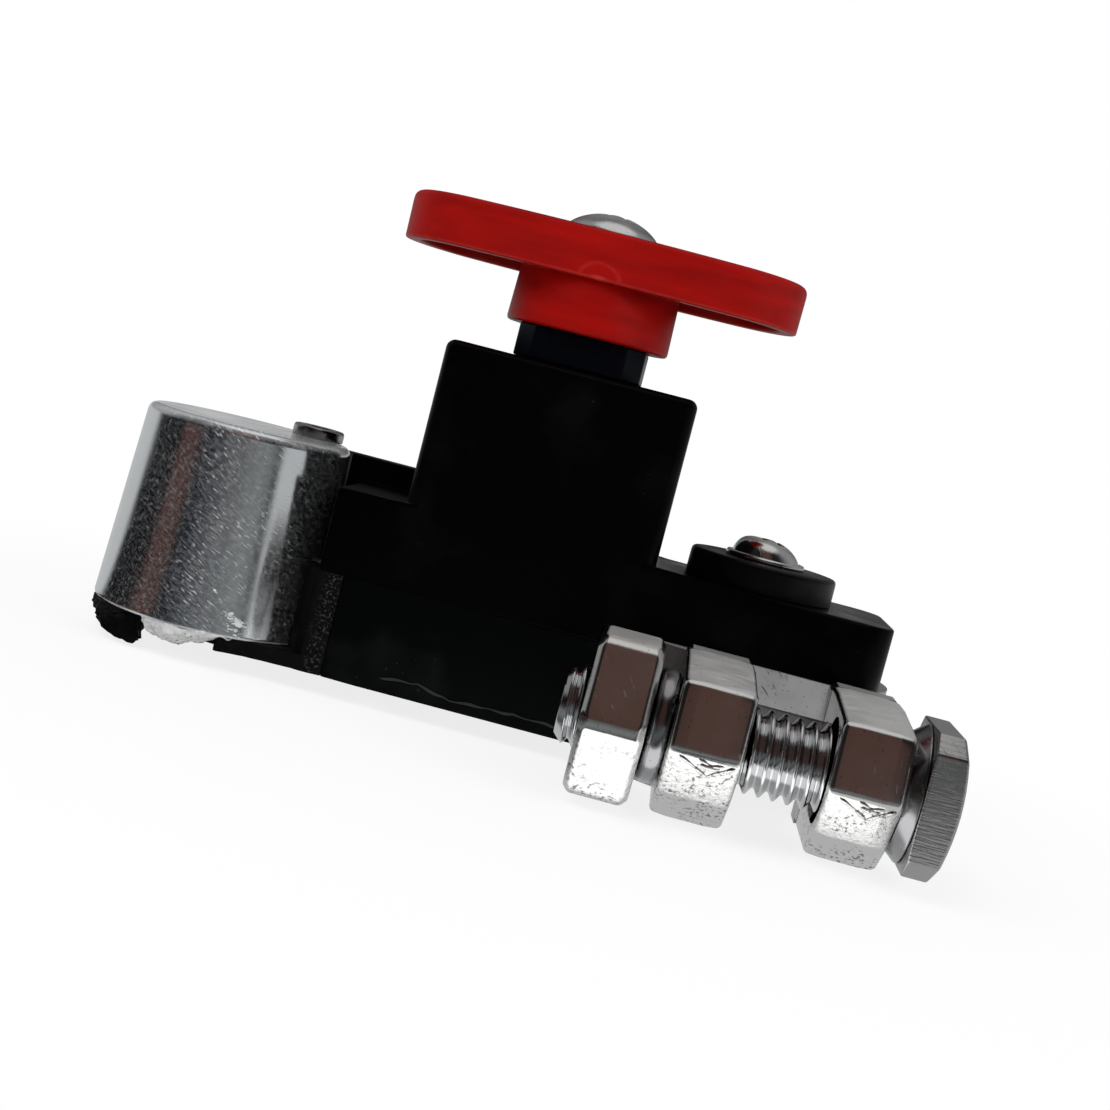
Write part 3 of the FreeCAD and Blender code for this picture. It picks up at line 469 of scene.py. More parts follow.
# shapes
def soft_profile(corners, segments=4):
    """Points of an open outline of (a, b, radius), its inner corners rounded."""
    points = []
    for n, (a, b, radius) in enumerate(corners):
        here = Vector((a, b))
        if n in (0, len(corners) - 1) or radius == 0:
            points.append(here)
            continue
        before = Vector(corners[n - 1][:2]) - here
        after = Vector(corners[n + 1][:2]) - here
        reach = radius / math.tan(before.angle(after) / 2)
        start = here + before.normalized() * reach
        stop = here + after.normalized() * reach
        for step in range(segments + 1):
            share = step / segments
            points.append(start.lerp(here, share).lerp(here.lerp(stop, share), share))
    return points


def rounded_corners(corners, segments):
    """The arc of each corner of a closed outline of (a, b, radius)."""
    closed = [corners[-1], *corners, corners[0]]
    return [soft_profile(closed[n:n + 3], segments)[1:-1] for n in range(len(corners))]


def add_outline(shape, points, closed=True):
    """Edges through points in millimetres, from each to the next."""
    verts = [shape.verts.new(Vector(point) * MM) for point in points]
    ends = verts[1:] + verts[:1] if closed else verts[1:]
    return [shape.edges.new(pair) for pair in zip(verts, ends)]


def loft(shape, loops, close=False, caps=False):
    """Quads between loops of equal length, in millimetres, with both ends filled if asked."""
    rings = [[shape.verts.new(Vector(point) * MM) for point in loop] for loop in loops]
    for low, high in zip(rings, rings[1:] + rings[:1] if close else rings[1:]):
        for n in range(len(low)):
            following = (n + 1) % len(low)
            shape.faces.new((low[n], low[following], high[following], high[n]))
    if caps:
        for ring in (rings[0], rings[-1]):
            shape.faces.new(ring)
    return shape


def spin(shape, profile, centre, axis=Z_AXIS, steps=96, closed=False):
    """Turn a (radius, height) profile once about an axis through centre."""
    outward = X_AXIS if axis == Z_AXIS else Y_AXIS
    edges = add_outline(shape, [centre + outward * r + axis * h for r, h in profile], closed)
    verts = list({vert for edge in edges for vert in edge.verts})
    bmesh.ops.spin(shape, geom=verts + edges, cent=centre * MM, axis=axis, angle=FULL_TURN,
                   steps=steps, use_merge=True)
    return shape


def rings_about(profile_at, centre, axis, steps):
    """Loops about an axis, for a (radius, height) profile that changes with the angle."""
    first, second = (X_AXIS, Y_AXIS) if axis == Z_AXIS else (Y_AXIS, Z_AXIS)
    columns = []
    for n in range(steps):
        angle = FULL_TURN * n / steps
        outward = first * math.cos(angle) + second * math.sin(angle)
        columns.append([centre + outward * r + axis * h for r, h in profile_at(angle)])
    return [list(loop) for loop in zip(*columns)]


def close_up(shape):
    """Merge points that meet and turn all faces outward."""
    bmesh.ops.remove_doubles(shape, verts=shape.verts, dist=POINT_MERGE)
    bmesh.ops.recalc_face_normals(shape, faces=shape.faces)
    return shape


def crumple(shape, amount, scale, only=None):
    """Push the points of a shape about by smooth noise, in millimetres."""
    for vert in shape.verts:
        place = vert.co / MM
        if only is None or only(place):
            vert.co += noise.noise_vector(place / scale) * amount * MM


def circle_round(point, radius, first, second, sides):
    """Points of a small circle that two directions span."""
    return [point + radius * (first * math.cos(FULL_TURN * k / sides)
                              + second * math.sin(FULL_TURN * k / sides))
            for k in range(sides)]


def bead_radii(count, mean, swing, tip):
    """Radii along a bead that swells and shrinks, and is thin at both tips."""
    radii = [mean + swing * math.sin(n * 0.9) for n in range(count)]
    radii[0] = radii[-1] = tip
    return radii


# knob
def arc_through(first, between, last, count):
    """Points of the circle through three points, from the first up to before the last."""
    a, b, c = first, between, last
    det = 2 * (a.x * (b.y - c.y) + b.x * (c.y - a.y) + c.x * (a.y - b.y))
    centre = Vector((
        (a.length_squared * (b.y - c.y) + b.length_squared * (c.y - a.y)
         + c.length_squared * (a.y - b.y)) / det,
        (a.length_squared * (c.x - b.x) + b.length_squared * (a.x - c.x)
         + c.length_squared * (b.x - a.x)) / det))
    radius = (a - centre).length
    start = math.atan2(*(a - centre).yx)
    sweep = (math.atan2(*(c - centre).yx) - start) % FULL_TURN
    return [centre + radius * Vector((math.cos(start + sweep * n / count),
                                      math.sin(start + sweep * n / count)))
            for n in range(count)]


def wing_outline():
    """Outer edge of the wings: two bowed sides and two blunt round ends."""
    x, y = SHOULDER
    corners = [Vector((x, -y)), Vector((x, y)), Vector((-x, y)), Vector((-x, -y))]
    between = [Vector((WING_HALF, 0)), Vector((0, SIDE_BULGE)), Vector((-WING_HALF, 0)),
               Vector((0, -SIDE_BULGE))]
    points = []
    for n, count in enumerate((36, 48, 36, 48)):
        points += arc_through(corners[n], between[n], corners[(n + 1) % 4], count)
    return points


def inset_loop(outline, inset, z):
    """The wings' outline moved inward along its own normals and lifted to a height."""
    loop = []
    for n, point in enumerate(outline):
        along = (outline[(n + 1) % len(outline)] - outline[n - 1]).normalized()
        loop.append(KNOB_AXIS + Vector((point.x - along.y * inset, point.y + along.x * inset, z)))
    return loop


def make_knob():
    """Knob with hollow wings, a rounded top edge and a plain round hub."""
    core, rim, roof = 5.2, 1.3, WING_LOW + 1.9
    section = soft_profile([
        (core, KNOB_TOP, 0), (0.0, KNOB_TOP, 0.75), (0.05, WING_LOW, 0.22), (rim, WING_LOW, 0.2),
        (rim + 0.1, roof, 0.3), (core, roof, 0)], segments=5)
    outline = wing_outline()
    shape = loft(bmesh.new(), [inset_loop(outline, inset, z) for inset, z in section], caps=True)
    top, low, bore, floor = 36.9, 30.7, 4.9, 31.4
    hub = soft_profile([(0, top, 0), (6.2, top, 0), (6.37, low, 0.35), (bore, low, 0.1),
                        (bore, floor, 0), (0, floor, 0)], segments=5)
    spin(shape, hub, KNOB_AXIS, steps=128)
    flat_faces(add_piece("knob_finish", close_up(shape), knob_red, ("knob",)))


# screws
def recess_depth(across, along, half_width, reach, depth):
    """Depth of a cross-shaped driver recess at one point of a screw head."""
    a, b = abs(across), abs(along)
    wall = (half_width - min(a, b)) / (0.45 * half_width)
    slope = (reach - max(a, b)) / (0.5 * reach)
    return depth * max(0.0, min(1.0, wall, slope))


def make_screw(solid, seat, radius, height, flange=0.0):
    """Round screw head with a cross recess, and its shank; a flanged head is lopsided."""
    rings, steps, shank_radius, shank_low = 44, 192, 1.5, -9.0
    recess_turn = math.pi / 4
    dome_radius = radius - flange
    edge = 0.24 * height if flange else 0.0

    def profile_at(angle):
        points = []
        power = 3.6 - 1.5 * math.cos(angle) if flange else 2.0
        spun = angle + recess_turn
        for n in range(rings):
            share = n / (rings - 1)
            r = dome_radius * share
            h = height * max(0.0, 1 - share ** power) ** (0.6 if flange else 0.68)
            h -= recess_depth(r * math.cos(spun), r * math.sin(spun), 0.11 * radius + 0.08,
                              0.44 * radius, 0.4 * height)
            points.append((r, max(h, 0.0)))
        return points + [
            (dome_radius + 0.01, edge), (radius - 0.1, edge * 0.95), (radius, edge * 0.5),
            (radius - 0.02, 0.0), (shank_radius, 0.0), (shank_radius, shank_low),
            (0.0, shank_low)]

    shape = loft(bmesh.new(), rings_about(profile_at, seat, Z_AXIS, steps))
    add_piece(solid + "_finish", close_up(shape), steel_plate, (solid,))


# bolt and its fittings
def make_thread():
    """Helical thread from the bolt's chamfered tail to inside the collar.

    A zigzag profile is turned once while it moves on by one pitch, so that its end meets its
    start one groove further on.
    """
    samples, steps = 10, 72
    root, tail_radius = BOLT_RADIUS - 0.56, BOLT_RADIUS - 0.75
    start = BOLT_TAIL - 0.2 - THREAD_PITCH
    profile = []
    for row in range(int((HEAD_LOW - BOLT_TAIL) / THREAD_PITCH) * samples):
        slope = abs(row % samples / samples - 0.5) * 2
        radius = root + (BOLT_RADIUS - root) * min(1.0, max(0.0, (slope - 0.12) / 0.72))
        profile.append(BOLT_AXIS + Vector((start + row * THREAD_PITCH / samples, radius, 0.0)))
    shape = bmesh.new()
    edges = add_outline(shape, profile, closed=False)
    bmesh.ops.spin(shape, geom=shape.verts[:] + edges, cent=BOLT_AXIS * MM, axis=X_AXIS,
                   dvec=X_AXIS * THREAD_PITCH / steps * MM, angle=FULL_TURN, steps=steps,
                   use_merge=False)
    for vert in shape.verts:
        outward = vert.co / MM - BOLT_AXIS
        x = max(outward.x, BOLT_TAIL)
        outward.x = 0.0
        allowed = tail_radius + x - BOLT_TAIL
        if outward.length > allowed:
            outward *= allowed / outward.length
        vert.co = (BOLT_AXIS + X_AXIS * x + outward) * MM
    close_up(shape)
    tail = [edge for edge in shape.edges if edge.is_boundary
            and max(vert.co.x for vert in edge.verts) < (BOLT_TAIL + 0.01) * MM]
    bmesh.ops.contextual_create(shape, geom=tail)
    return close_up(shape)


def make_head():
    """Square head with bevelled corners, its outer end bowed towards the middle."""
    half, bevel, thick, crown, per_side = 4.95, 1.25, 2.6, 0.75, 8
    near = half - bevel
    corners = [(half, near), (near, half), (-near, half), (-half, near), (-half, -near),
               (-near, -half), (near, -half), (half, -near)]
    arcs = rounded_corners([(*corner, 0.3) for corner in corners], 4)
    sides = []
    for arc, following in zip(arcs, arcs[1:] + arcs[:1]):
        sides += arc + [arc[-1].lerp(following[0], k / per_side) for k in range(1, per_side)]
    section = soft_profile([(half, 0.0, 0), (0.0, 0.0, 0.2), (0.0, thick, 0.28),
                            (half, thick, 0)], segments=5)
    loops = []
    for inset, level in section:
        share = 1 - inset / half
        loop = []
        for side in sides:
            drop = crown * (side.y * share / half) ** 2 * level / thick
            loop.append(BOLT_AXIS + Vector((HEAD_LOW + level - drop, *(side * share))))
        loops.append(loop)
    return close_up(loft(bmesh.new(), loops))


def make_bolt():
    """Threaded pinch bolt with a square, bevelled and bowed head."""
    add_piece("bolt_thread", make_thread(), thread_plate, ("clamp_bolt",))
    flat_faces(add_piece("bolt_head", make_head(), head_plate))


def make_nut():
    """Hexagon nut whose ends are turned to a cone, so its flats end in arcs."""
    half, corner, bore, turn = 11.05 / 2, 6.18, 2.6, math.radians(30)
    lean = math.tan(math.radians(40))
    softness = 50

    def profile_at(angle):
        total = 0.0
        for k in range(6):
            toward = math.cos(angle - turn - k * FULL_TURN / 6)
            total += max(0.0, toward) ** softness
        side = min(half / total ** (1 / softness), corner)
        face_radius = min(side - 0.45, 5.6)
        cut = (side - face_radius) * lean
        return soft_profile([
            (bore, NUT_LOW, 0), (face_radius, NUT_LOW, 0.25), (side, NUT_LOW + cut, 0.4),
            (side, WASHER_LOW - cut, 0.4), (face_radius, WASHER_LOW, 0.25),
            (bore, WASHER_LOW, 0)])

    shape = loft(bmesh.new(), rings_about(profile_at, BOLT_AXIS, X_AXIS, 192), close=True)
    flat_faces(add_piece("nut_finish", close_up(shape), nut_plate, ("clamp_nut",)))


def make_lock_washer():
    """Split spring ring: a bar with rounded edges bent almost to a circle."""
    steps, gap, inner, outer = 120, math.radians(7), 3.05, 4.0
    section = soft_profile([
        (inner, WASHER_LOW, 0), (outer, WASHER_LOW + 0.02, 0.7),
        (outer, WASHER_HIGH - 0.02, 0.7), (inner, WASHER_HIGH, 0.12),
        (inner, WASHER_LOW + 0.01, 0)])
    start = Vector((0, math.cos(gap / 2), math.sin(gap / 2)))
    shape = bmesh.new()
    first = add_outline(shape, [BOLT_AXIS + start * r + X_AXIS * h for r, h in section])
    spun = bmesh.ops.spin(shape, geom=shape.verts[:] + first, cent=BOLT_AXIS * MM, axis=X_AXIS,
                          angle=FULL_TURN - gap, steps=steps, use_merge=False)
    last = [item for item in spun["geom_last"] if isinstance(item, bmesh.types.BMEdge)]
    for end in (first, last):
        bmesh.ops.contextual_create(shape, geom=end)
    flat_faces(add_piece("lock_washer_finish", close_up(shape), dark_plate, ("lock_washer",)))


def make_collar():
    """Dished collar between the far ear and the bolt head."""
    bore = 2.6
    section = soft_profile([
        (bore, COLLAR_LOW, 0), (4.1, COLLAR_LOW, 0.15), (4.95, HEAD_LOW - 0.03, 0.12),
        (bore, HEAD_LOW, 0)])
    shape = spin(bmesh.new(), section, BOLT_AXIS, X_AXIS, 128, closed=True)
    add_piece("collar_finish", close_up(shape), dark_plate, ("bolt_collar",))


# clamp
def ear_loop(inset, x):
    """The ear outline with rounded corners, moved inward and set at one x."""
    centre = BOLT_AXIS.yz
    corners = [Vector(point[:2]) for point in EAR_OUTLINE]
    moved = []
    for n, corner in enumerate(corners):
        before = (corner - corners[n - 1]).normalized()
        after = (corners[(n + 1) % len(corners)] - corner).normalized()
        normals = [Vector((-side.y, side.x)) for side in (before, after)]
        normals = [normal if normal.dot(centre - corner) > 0 else -normal for normal in normals]
        miter = (normals[0] + normals[1]).normalized()
        place = corner + miter * inset / max(0.3, miter.dot(normals[0]))
        moved.append((*place, max(0.05, EAR_OUTLINE[n][2] - inset * 0.4)))
    loop = []
    for arc, following in zip(rounded_corners(moved, 5), moved[1:] + moved[:1]):
        loop += arc + [arc[-1].lerp(Vector(following[:2]), k / 8) for k in range(1, 7)]
    return [Vector((x, *point)) for point in loop]


def add_ear(shape, low, high, hole):
    """One cast ear with soft outer corners and the hole for the bolt."""
    face = 2.2
    rim = soft_profile([(face, low, 0), (0.1, low, 0.5), (0.0, low + 1.2, 1.2),
                        (0.0, high - 1.2, 1.2), (0.1, high, 0.5), (face, high, 0)], segments=6)
    loops = [ear_loop(inset, x) for inset, x in rim]
    holes = []
    for x, outer in ((low, loops[0]), (high, loops[-1])):
        centre = BOLT_AXIS + X_AXIS * x
        holes.append([centre + (point - centre).normalized() * hole for point in outer])
    loft(shape, [holes[0], *loops, holes[1]], close=True)


def add_burr(shape, low):
    """Folded casting burr on the lower front face of an ear."""
    toe, nose = Vector(EAR_OUTLINE[2][:2]), Vector(EAR_OUTLINE[3][:2])
    per_side, sides = 6, 8

    def on_face(across, up):
        place = toe.lerp(nose, up)
        return Vector((low + across, place.x + 0.05, place.y))

    folds = (((0.9, 0.93), (2.2, 0.74), (3.0, 0.6), (3.9, 0.8), (4.7, 0.93)),
             ((2.2, 0.96), (3.1, 0.86), (4.0, 0.92)))
    for fold in folds:
        corners = [on_face(across, up) for across, up in fold]
        points = [first.lerp(second, k / per_side)
                  for first, second in zip(corners, corners[1:]) for k in range(per_side)]
        points.append(corners[-1])
        loops = []
        for n, radius in enumerate(bead_radii(len(points), 0.14, 0.03, 0.03)):
            ahead = points[min(n + 1, len(points) - 1)] - points[max(n - 1, 0)]
            first = ahead.cross(Y_AXIS).normalized()
            second = ahead.cross(first).normalized()
            loops.append(circle_round(points[n], radius, first, second, sides))
        loft(shape, loops, caps=True)
    drop = bmesh.ops.create_icosphere(shape, subdivisions=3, radius=1.0)["verts"]
    bmesh.ops.scale(shape, verts=drop, vec=Vector((0.7, 0.2, 0.3)) * MM)
    bmesh.ops.translate(shape, verts=drop, vec=on_face(3.05, 0.84) * MM)


def make_clamp():
    """Clamp casting: ring and plate as built, with rounded and slightly burred ears."""
    shape = copy_of("clamp_terminal")
    parted = bmesh.ops.bisect_plane(shape, geom=shape.verts[:] + shape.edges[:] + shape.faces[:],
                                    plane_co=Y_AXIS * EAR_SPLIT * MM, plane_no=Y_AXIS,
                                    clear_inner=True)
    rim = [item for item in parted["geom_cut"] if isinstance(item, bmesh.types.BMEdge)]
    bmesh.ops.triangle_fill(shape, use_beauty=True, use_dissolve=False, edges=rim)
    add_piece("clamp_ring", close_up(shape), clamp_plate, ("clamp_terminal",), smooth=False)
    ears = bmesh.new()
    for low, high, hole in EARS:
        add_ear(ears, low, high, hole)
    for ear in EARS:
        add_burr(ears, ear[0])
    flat_faces(add_piece("clamp_ears", close_up(ears), ear_plate))


# post
def wrap_round_post(shape):
    """UV map of the post: round its axis along u and up it along v, both in metres."""
    mean_radius = 8.4
    uv = shape.loops.layers.uv.new("wrap")
    for face in shape.faces:
        sides = [corner.vert.co / MM - POST_AXIS for corner in face.loops]
        angles = [math.atan2(side.x, -side.y) for side in sides]
        wraps = max(angles) - min(angles) > math.pi
        for corner, angle in zip(face.loops, angles):
            if wraps and angle < 0:
                angle += FULL_TURN
            corner[uv].uv = (angle * mean_radius * MM, corner.vert.co.z)


def make_post():
    """Battery post with softened rims, and the bar that joins it to its contact."""
    profile = soft_profile([
        (0.0, POST_TOP, 0), (7.95, POST_TOP, 0.75), (8.8, POST_LOW, 0.3), (0.0, POST_LOW, 0)],
        segments=6)
    shape = close_up(spin(bmesh.new(), profile, POST_AXIS, steps=160))
    wrap_round_post(shape)
    flat_faces(add_piece("post_finish", shape, post_plate, ("terminal_post",)))
    low, high = Vector((-38.0, -4.0, 6.04)), Vector((-20.7, 1.0, 9.04))
    bar = bmesh.new()
    bmesh.ops.create_cube(bar, size=1.0)
    bmesh.ops.scale(bar, verts=bar.verts, vec=(high - low) * MM)
    bmesh.ops.translate(bar, verts=bar.verts, vec=(low + high) / 2 * MM)
    add_piece("post_bar_finish", bar, steel_plate, smooth=False)


def make_foot():
    """Torn bright metal under the near edge of the post."""
    middle, lowest, highest_up, nearest = Vector((-42.2, -8.9, 2.4)), 0.8, 2.55, -10.25
    shape = bmesh.new()
    bmesh.ops.create_icosphere(shape, subdivisions=5, radius=1.0)
    for vert in shape.verts:
        x, y, z = vert.co
        wide = 2.9 if x < 0 else 4.4
        hang = 1.5 if z < 0 else 0.3
        droop = 1.0 - 0.85 * max(0.0, x)
        vert.co = (middle + Vector((wide * x, 1.2 * y, hang * z * droop))) * MM
    crumple(shape, 0.35, 1.2)
    crumple(shape, 0.14, 0.35)
    for vert in shape.verts:
        vert.co.z = min(max(vert.co.z, lowest * MM), highest_up * MM)
        vert.co.y = max(vert.co.y, nearest * MM)
    add_piece("post_foot", close_up(shape), torn_plate)


def make_stud():
    """Hollow stud in the top of the post."""
    centre = Vector((-37.4, 2.4, POST_TOP))
    radius, bore, rise, floor = 2.05, 1.05, 0.9, 0.3
    profile = soft_profile([
        (0.0, floor, 0), (bore, floor, 0.05), (bore + 0.05, rise, 0.1), (radius, rise, 0.3),
        (radius, 0.0, 0.08), (bore, -0.02, 0), (bore, -3.9, 0), (0.0, -4.0, 0)])
    shape = close_up(spin(bmesh.new(), profile, centre, steps=64))
    flat_faces(add_piece("stud_finish", shape, dark_plate, ("post_stud",)))


# mouldings
def make_potting():
    """Ragged hardened resin, drawn from its solid and pushed about."""
    shape = copy_of("base_potting")
    for _ in range(3):
        long_edges = [edge for edge in shape.edges if edge.calc_length() > 0.7 * MM]
        bmesh.ops.subdivide_edges(shape, edges=long_edges, cuts=1)
        bmesh.ops.triangulate(shape, faces=shape.faces)
    low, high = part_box("base_potting")
    open_from, lump_from, lift_from, lift_below = -31.1, -44.5, -46.5, 1.8

    def is_open(place):
        near_post = (place.xy - POST_AXIS.xy).length < 9.3 and place.z > 2.2
        return place.x < open_from and not near_post

    def is_lump(place):
        return is_open(place) and place.x < lump_from

    crumple(shape, 0.4, 1.3, is_lump)
    crumple(shape, 0.2, 0.4, is_lump)
    crumple(shape, 0.09, 0.5, is_open)
    for vert in shape.verts:
        x, z = vert.co.x / MM, vert.co.z / MM
        if x < lift_from and z < lift_below:
            vert.co.z += min(1.0, (lift_from - x) / 3.8) * 1.5 * (1 - z / lift_below) * MM
        vert.co = Vector(min(max(value, a), b) for value, a, b in zip(vert.co, low, high))
    add_piece("resin_finish", close_up(shape), resin_black, ("base_potting",), smooth=False)


def make_cap():
    """Round boss on the right arm."""
    centre = Vector((CAP_AXIS.x, CAP_AXIS.y, 15.4))
    top, bore = 2.15, 1.55
    profile = soft_profile([(bore, top, 0), (5.7, top, 0.4), (5.72, 0.0, 0.1), (bore, 0.0, 0),
                            (bore, top - 0.15, 0)])
    shape = close_up(spin(bmesh.new(), profile, centre, steps=128))
    flat_faces(add_piece("cap_finish", shape, cap_black, ("terminal_cap",)))


def make_flash():
    """Wavy moulding flash low on the near side of the lower layer."""
    face, per_side = -8.36, 6
    corners = [Vector((x, face, z)) for x, z in (
        (-26.5, 2.3), (-23.6, 2.5), (-21.0, 2.0), (-18.5, 2.05), (-16.1, 2.2), (-13.1, 2.1),
        (-11.0, 1.7))]
    points = [first.lerp(second, k / per_side) + Z_AXIS * 0.06 * math.sin(first.x + k)
              for first, second in zip(corners, corners[1:]) for k in range(per_side)]
    radii = bead_radii(len(points), 0.09, 0.04, 0.02)
    shape = loft(bmesh.new(), [circle_round(point, radius, Y_AXIS, Z_AXIS, 6)
                               for point, radius in zip(points, radii)], caps=True)
    add_piece("lower_flash", close_up(shape), flash_black)


# stage
def build_camera():
    """Camera matched to the photograph's view of the post, tower and clamp."""
    eye = Vector((-9.22, -143.11, 26.01)) * MM
    yaw, pitch, roll = 2.895, 4.861, 14.479
    focal_pixels, frame_pixels, sensor = 1832.2, 1110, 36.0
    data = bpy.data.cameras.new("camera")
    data.sensor_width = sensor
    data.lens = focal_pixels / frame_pixels * sensor
    data.clip_start = 0.005
    camera = bpy.data.objects.new("camera", data)
    bpy.context.scene.collection.objects.link(camera)
    camera.matrix_world = (Matrix.Translation(eye)
                           @ Matrix.Rotation(math.radians(yaw), 4, "Z")
                           @ Matrix.Rotation(math.radians(90 - pitch), 4, "X")
                           @ Matrix.Rotation(math.radians(roll), 4, "Z"))
    bpy.context.scene.camera = camera


def build_world():
    """White behind the object and in its reflections, softer as light."""
    world = bpy.data.worlds.new("studio")
    bpy.context.scene.world = world
    world.use_nodes = True
    tree = world.node_tree
    tree.nodes.clear()
    path = node(tree, "LightPath").outputs
    seen = highest(tree, path["Is Camera Ray"], path["Is Glossy Ray"],
                   path["Is Transmission Ray"])
    back = node(tree, "Background", {"Color": (1, 1, 1, 1),
                                     "Strength": remap(tree, seen, 0.0, 1.0, 0.55, 1.0)})
    tree.links.new(back.outputs["Background"], node(tree, "OutputWorld").inputs["Surface"])


# colours round the post by azimuth in degrees, 0 towards the camera, as plating mirrors them
WHITE_CLOTH, PALE_CLOTH, BLACK_CLOTH = (0.6, 0.61, 0.61), (0.3, 0.3, 0.3), (0.02, 0.02, 0.02)
LOW_COLORS = [
    (-180, (0.55, 0.56, 0.56)), (-108, WHITE_CLOTH), (-100, (0.006, 0.006, 0.007)),
    (-64, (0.006, 0.006, 0.007)), (-57, (0.085, 0.042, 0.034)), (-41, (0.07, 0.036, 0.028)),
    (-33, (0.012, 0.014, 0.02)), (-22, (0.02, 0.023, 0.03)), (-4, (0.09, 0.095, 0.1)),
    (14, (0.15, 0.155, 0.16)), (34, (0.23, 0.24, 0.24)), (45, (0.17, 0.18, 0.18)),
    (49, (0.06, 0.062, 0.065)), (52, (0.06, 0.062, 0.065)), (56, (0.62, 0.63, 0.63)),
    (150, (0.5, 0.5, 0.5)), (180, (0.4, 0.4, 0.4))]
HIGH_COLORS = [
    (-180, (0.04, 0.04, 0.04)), (-130, PALE_CLOTH), (-100, PALE_CLOTH), (-70, BLACK_CLOTH),
    (-18, (0.01, 0.009, 0.009)), (-9, (0.075, 0.042, 0.035)), (8, (0.1, 0.056, 0.046)),
    (27, (0.08, 0.044, 0.037)), (33, (0.01, 0.009, 0.009)), (60, BLACK_CLOTH),
    (100, PALE_CLOTH), (130, PALE_CLOTH), (180, (0.04, 0.04, 0.04))]


def surroundings_group():
    """Colours round the stage by direction, near the floor and higher up."""
    group, given, result = new_group("surroundings", {}, {"Low": "color", "High": "color"})
    ahead = times(group, part_of(group, given["Vector"], "Y"), -1.0)
    azimuth = math_node(group, "ARCTAN2", part_of(group, given["Vector"], "X"), ahead)
    around = remap(group, azimuth, -math.pi, math.pi)
    for label, colors in (("Low", LOW_COLORS), ("High", HIGH_COLORS)):
        ring = node(group, "ValToRGB", {"Fac": around})
        paint_ramp(ring.color_ramp, [((degrees + 180) / 360, color)
                                     for degrees, color in colors])
        group.links.new(ring.outputs["Color"], result[label])
    return group


def around_post(tree, where):
    """The surroundings' colours as seen from the axis of the post."""
    from_post = vector_node(tree, "SUBTRACT", where, POST_AXIS * MM)
    return use_group(tree, SURROUNDINGS, Vector=from_post)


def add_backdrop(name, shape, material, smooth):
    backdrop = bpy.data.objects.new(name, mesh_data(name, shape, smooth))
    backdrop.data.materials.append(material)
    bpy.context.scene.collection.objects.link(backdrop)
    return backdrop


def build_floor():
    """Pale floor with a soft shadow; mirrored, it is white only in front of the bolt."""
    radius, level = 0.5, -0.3 * MM
    shape = bmesh.new()
    bmesh.ops.create_circle(shape, cap_ends=True, segments=96, radius=radius,
                            matrix=Matrix.Translation((0, 0, level)))
    material, tree = blank_material("floor")
    where = place_of(tree)
    reach = vector_node(tree, "DISTANCE", where, (-0.018, -0.004, 0.0), "Value")
    near_mix = remap(tree, remap(tree, reach, 0.03, 0.085, smooth=True), 0.0, 1.0, 0.82, 1.0)
    path = node(tree, "LightPath").outputs
    paint = node(tree, "BsdfDiffuse", {"Color": (0.9, 0.9, 0.9, 1)}).outputs[0]
    white = node(tree, "Emission", {"Color": (1, 1, 1, 1), "Strength": 1.0}).outputs[0]
    shown = node(tree, "MixShader", {0: near_mix, 1: paint, 2: white}).outputs[0]
    beside = away_from(tree, part_of(tree, where, "X"), -1.1 * MM)
    ahead = away_from(tree, part_of(tree, where, "Y"), -26.2 * MM)
    patch = times(tree, remap(tree, beside, 11.6 * MM, 12.8 * MM, 1.0, 0.0, smooth=True),
                  remap(tree, ahead, 3.2 * MM, 4.0 * MM, 1.0, 0.0, smooth=True))
    mirrored_color = mix_color(tree, patch, around_post(tree, where)["Low"],
                               (1.7, 1.7, 1.7, 1))
    mirrored = node(tree, "Emission", {"Color": mirrored_color, "Strength": 1.0}).outputs[0]
    for_rays = node(tree, "MixShader", {0: path["Is Camera Ray"], 1: paint, 2: shown}).outputs[0]
    final = node(tree, "MixShader", {0: path["Is Glossy Ray"], 1: for_rays, 2: mirrored})
    finish_surface(tree, final.outputs[0])
    floor = add_backdrop("floor", shape, material, smooth=False)


def build_tent():
    """Dark and coloured cloth round the stage, seen only in glossy surfaces."""
    radius = 0.45
    shape = bmesh.new()
    bmesh.ops.create_uvsphere(shape, u_segments=96, v_segments=48, radius=radius)
    below = [face for face in shape.faces if face.calc_center_median().z < -0.02]
    bmesh.ops.delete(shape, geom=below, context="FACES")
    material, tree = blank_material("tent")
    where = place_of(tree)
    around = around_post(tree, where)
    height = math_node(tree, "DIVIDE", part_of(tree, where, "Z"), radius)
    sides = mix_color(tree, remap(tree, height, 0.1, 0.2, smooth=True), around["Low"],
                      around["High"])
    color = mix_color(tree, remap(tree, height, 0.86, 0.95, smooth=True), sides,
                      (0.7, 0.7, 0.7, 1))
    cloth = node(tree, "Emission", {"Color": color, "Strength": 1.0})
    finish_surface(tree, cloth.outputs[0])
    tent = add_backdrop("tent", shape, material, smooth=True)
    for rays in ("camera", "diffuse", "shadow", "transmission"):
        setattr(tent, "visible_" + rays, False)


def build_lamps():
    """Large soft lamps, above left and right of the camera."""
    target = Vector((-18, 0, 12)) * MM
    for name, spot, side, power in (("key_lamp", (-160, -180, 260), 0.22, 0.55),
                                    ("fill_lamp", (230, -120, 160), 0.25, 0.35)):
        data = bpy.data.lights.new(name, "AREA")
        data.shape = "SQUARE"
        data.size = side
        data.energy = power
        lamp = bpy.data.objects.new(name, data)
        lamp.location = Vector(spot) * MM
        lamp.rotation_euler = (target - lamp.location).to_track_quat("-Z", "Y").to_euler()
        lamp.visible_glossy = False
        bpy.context.scene.collection.objects.link(lamp)


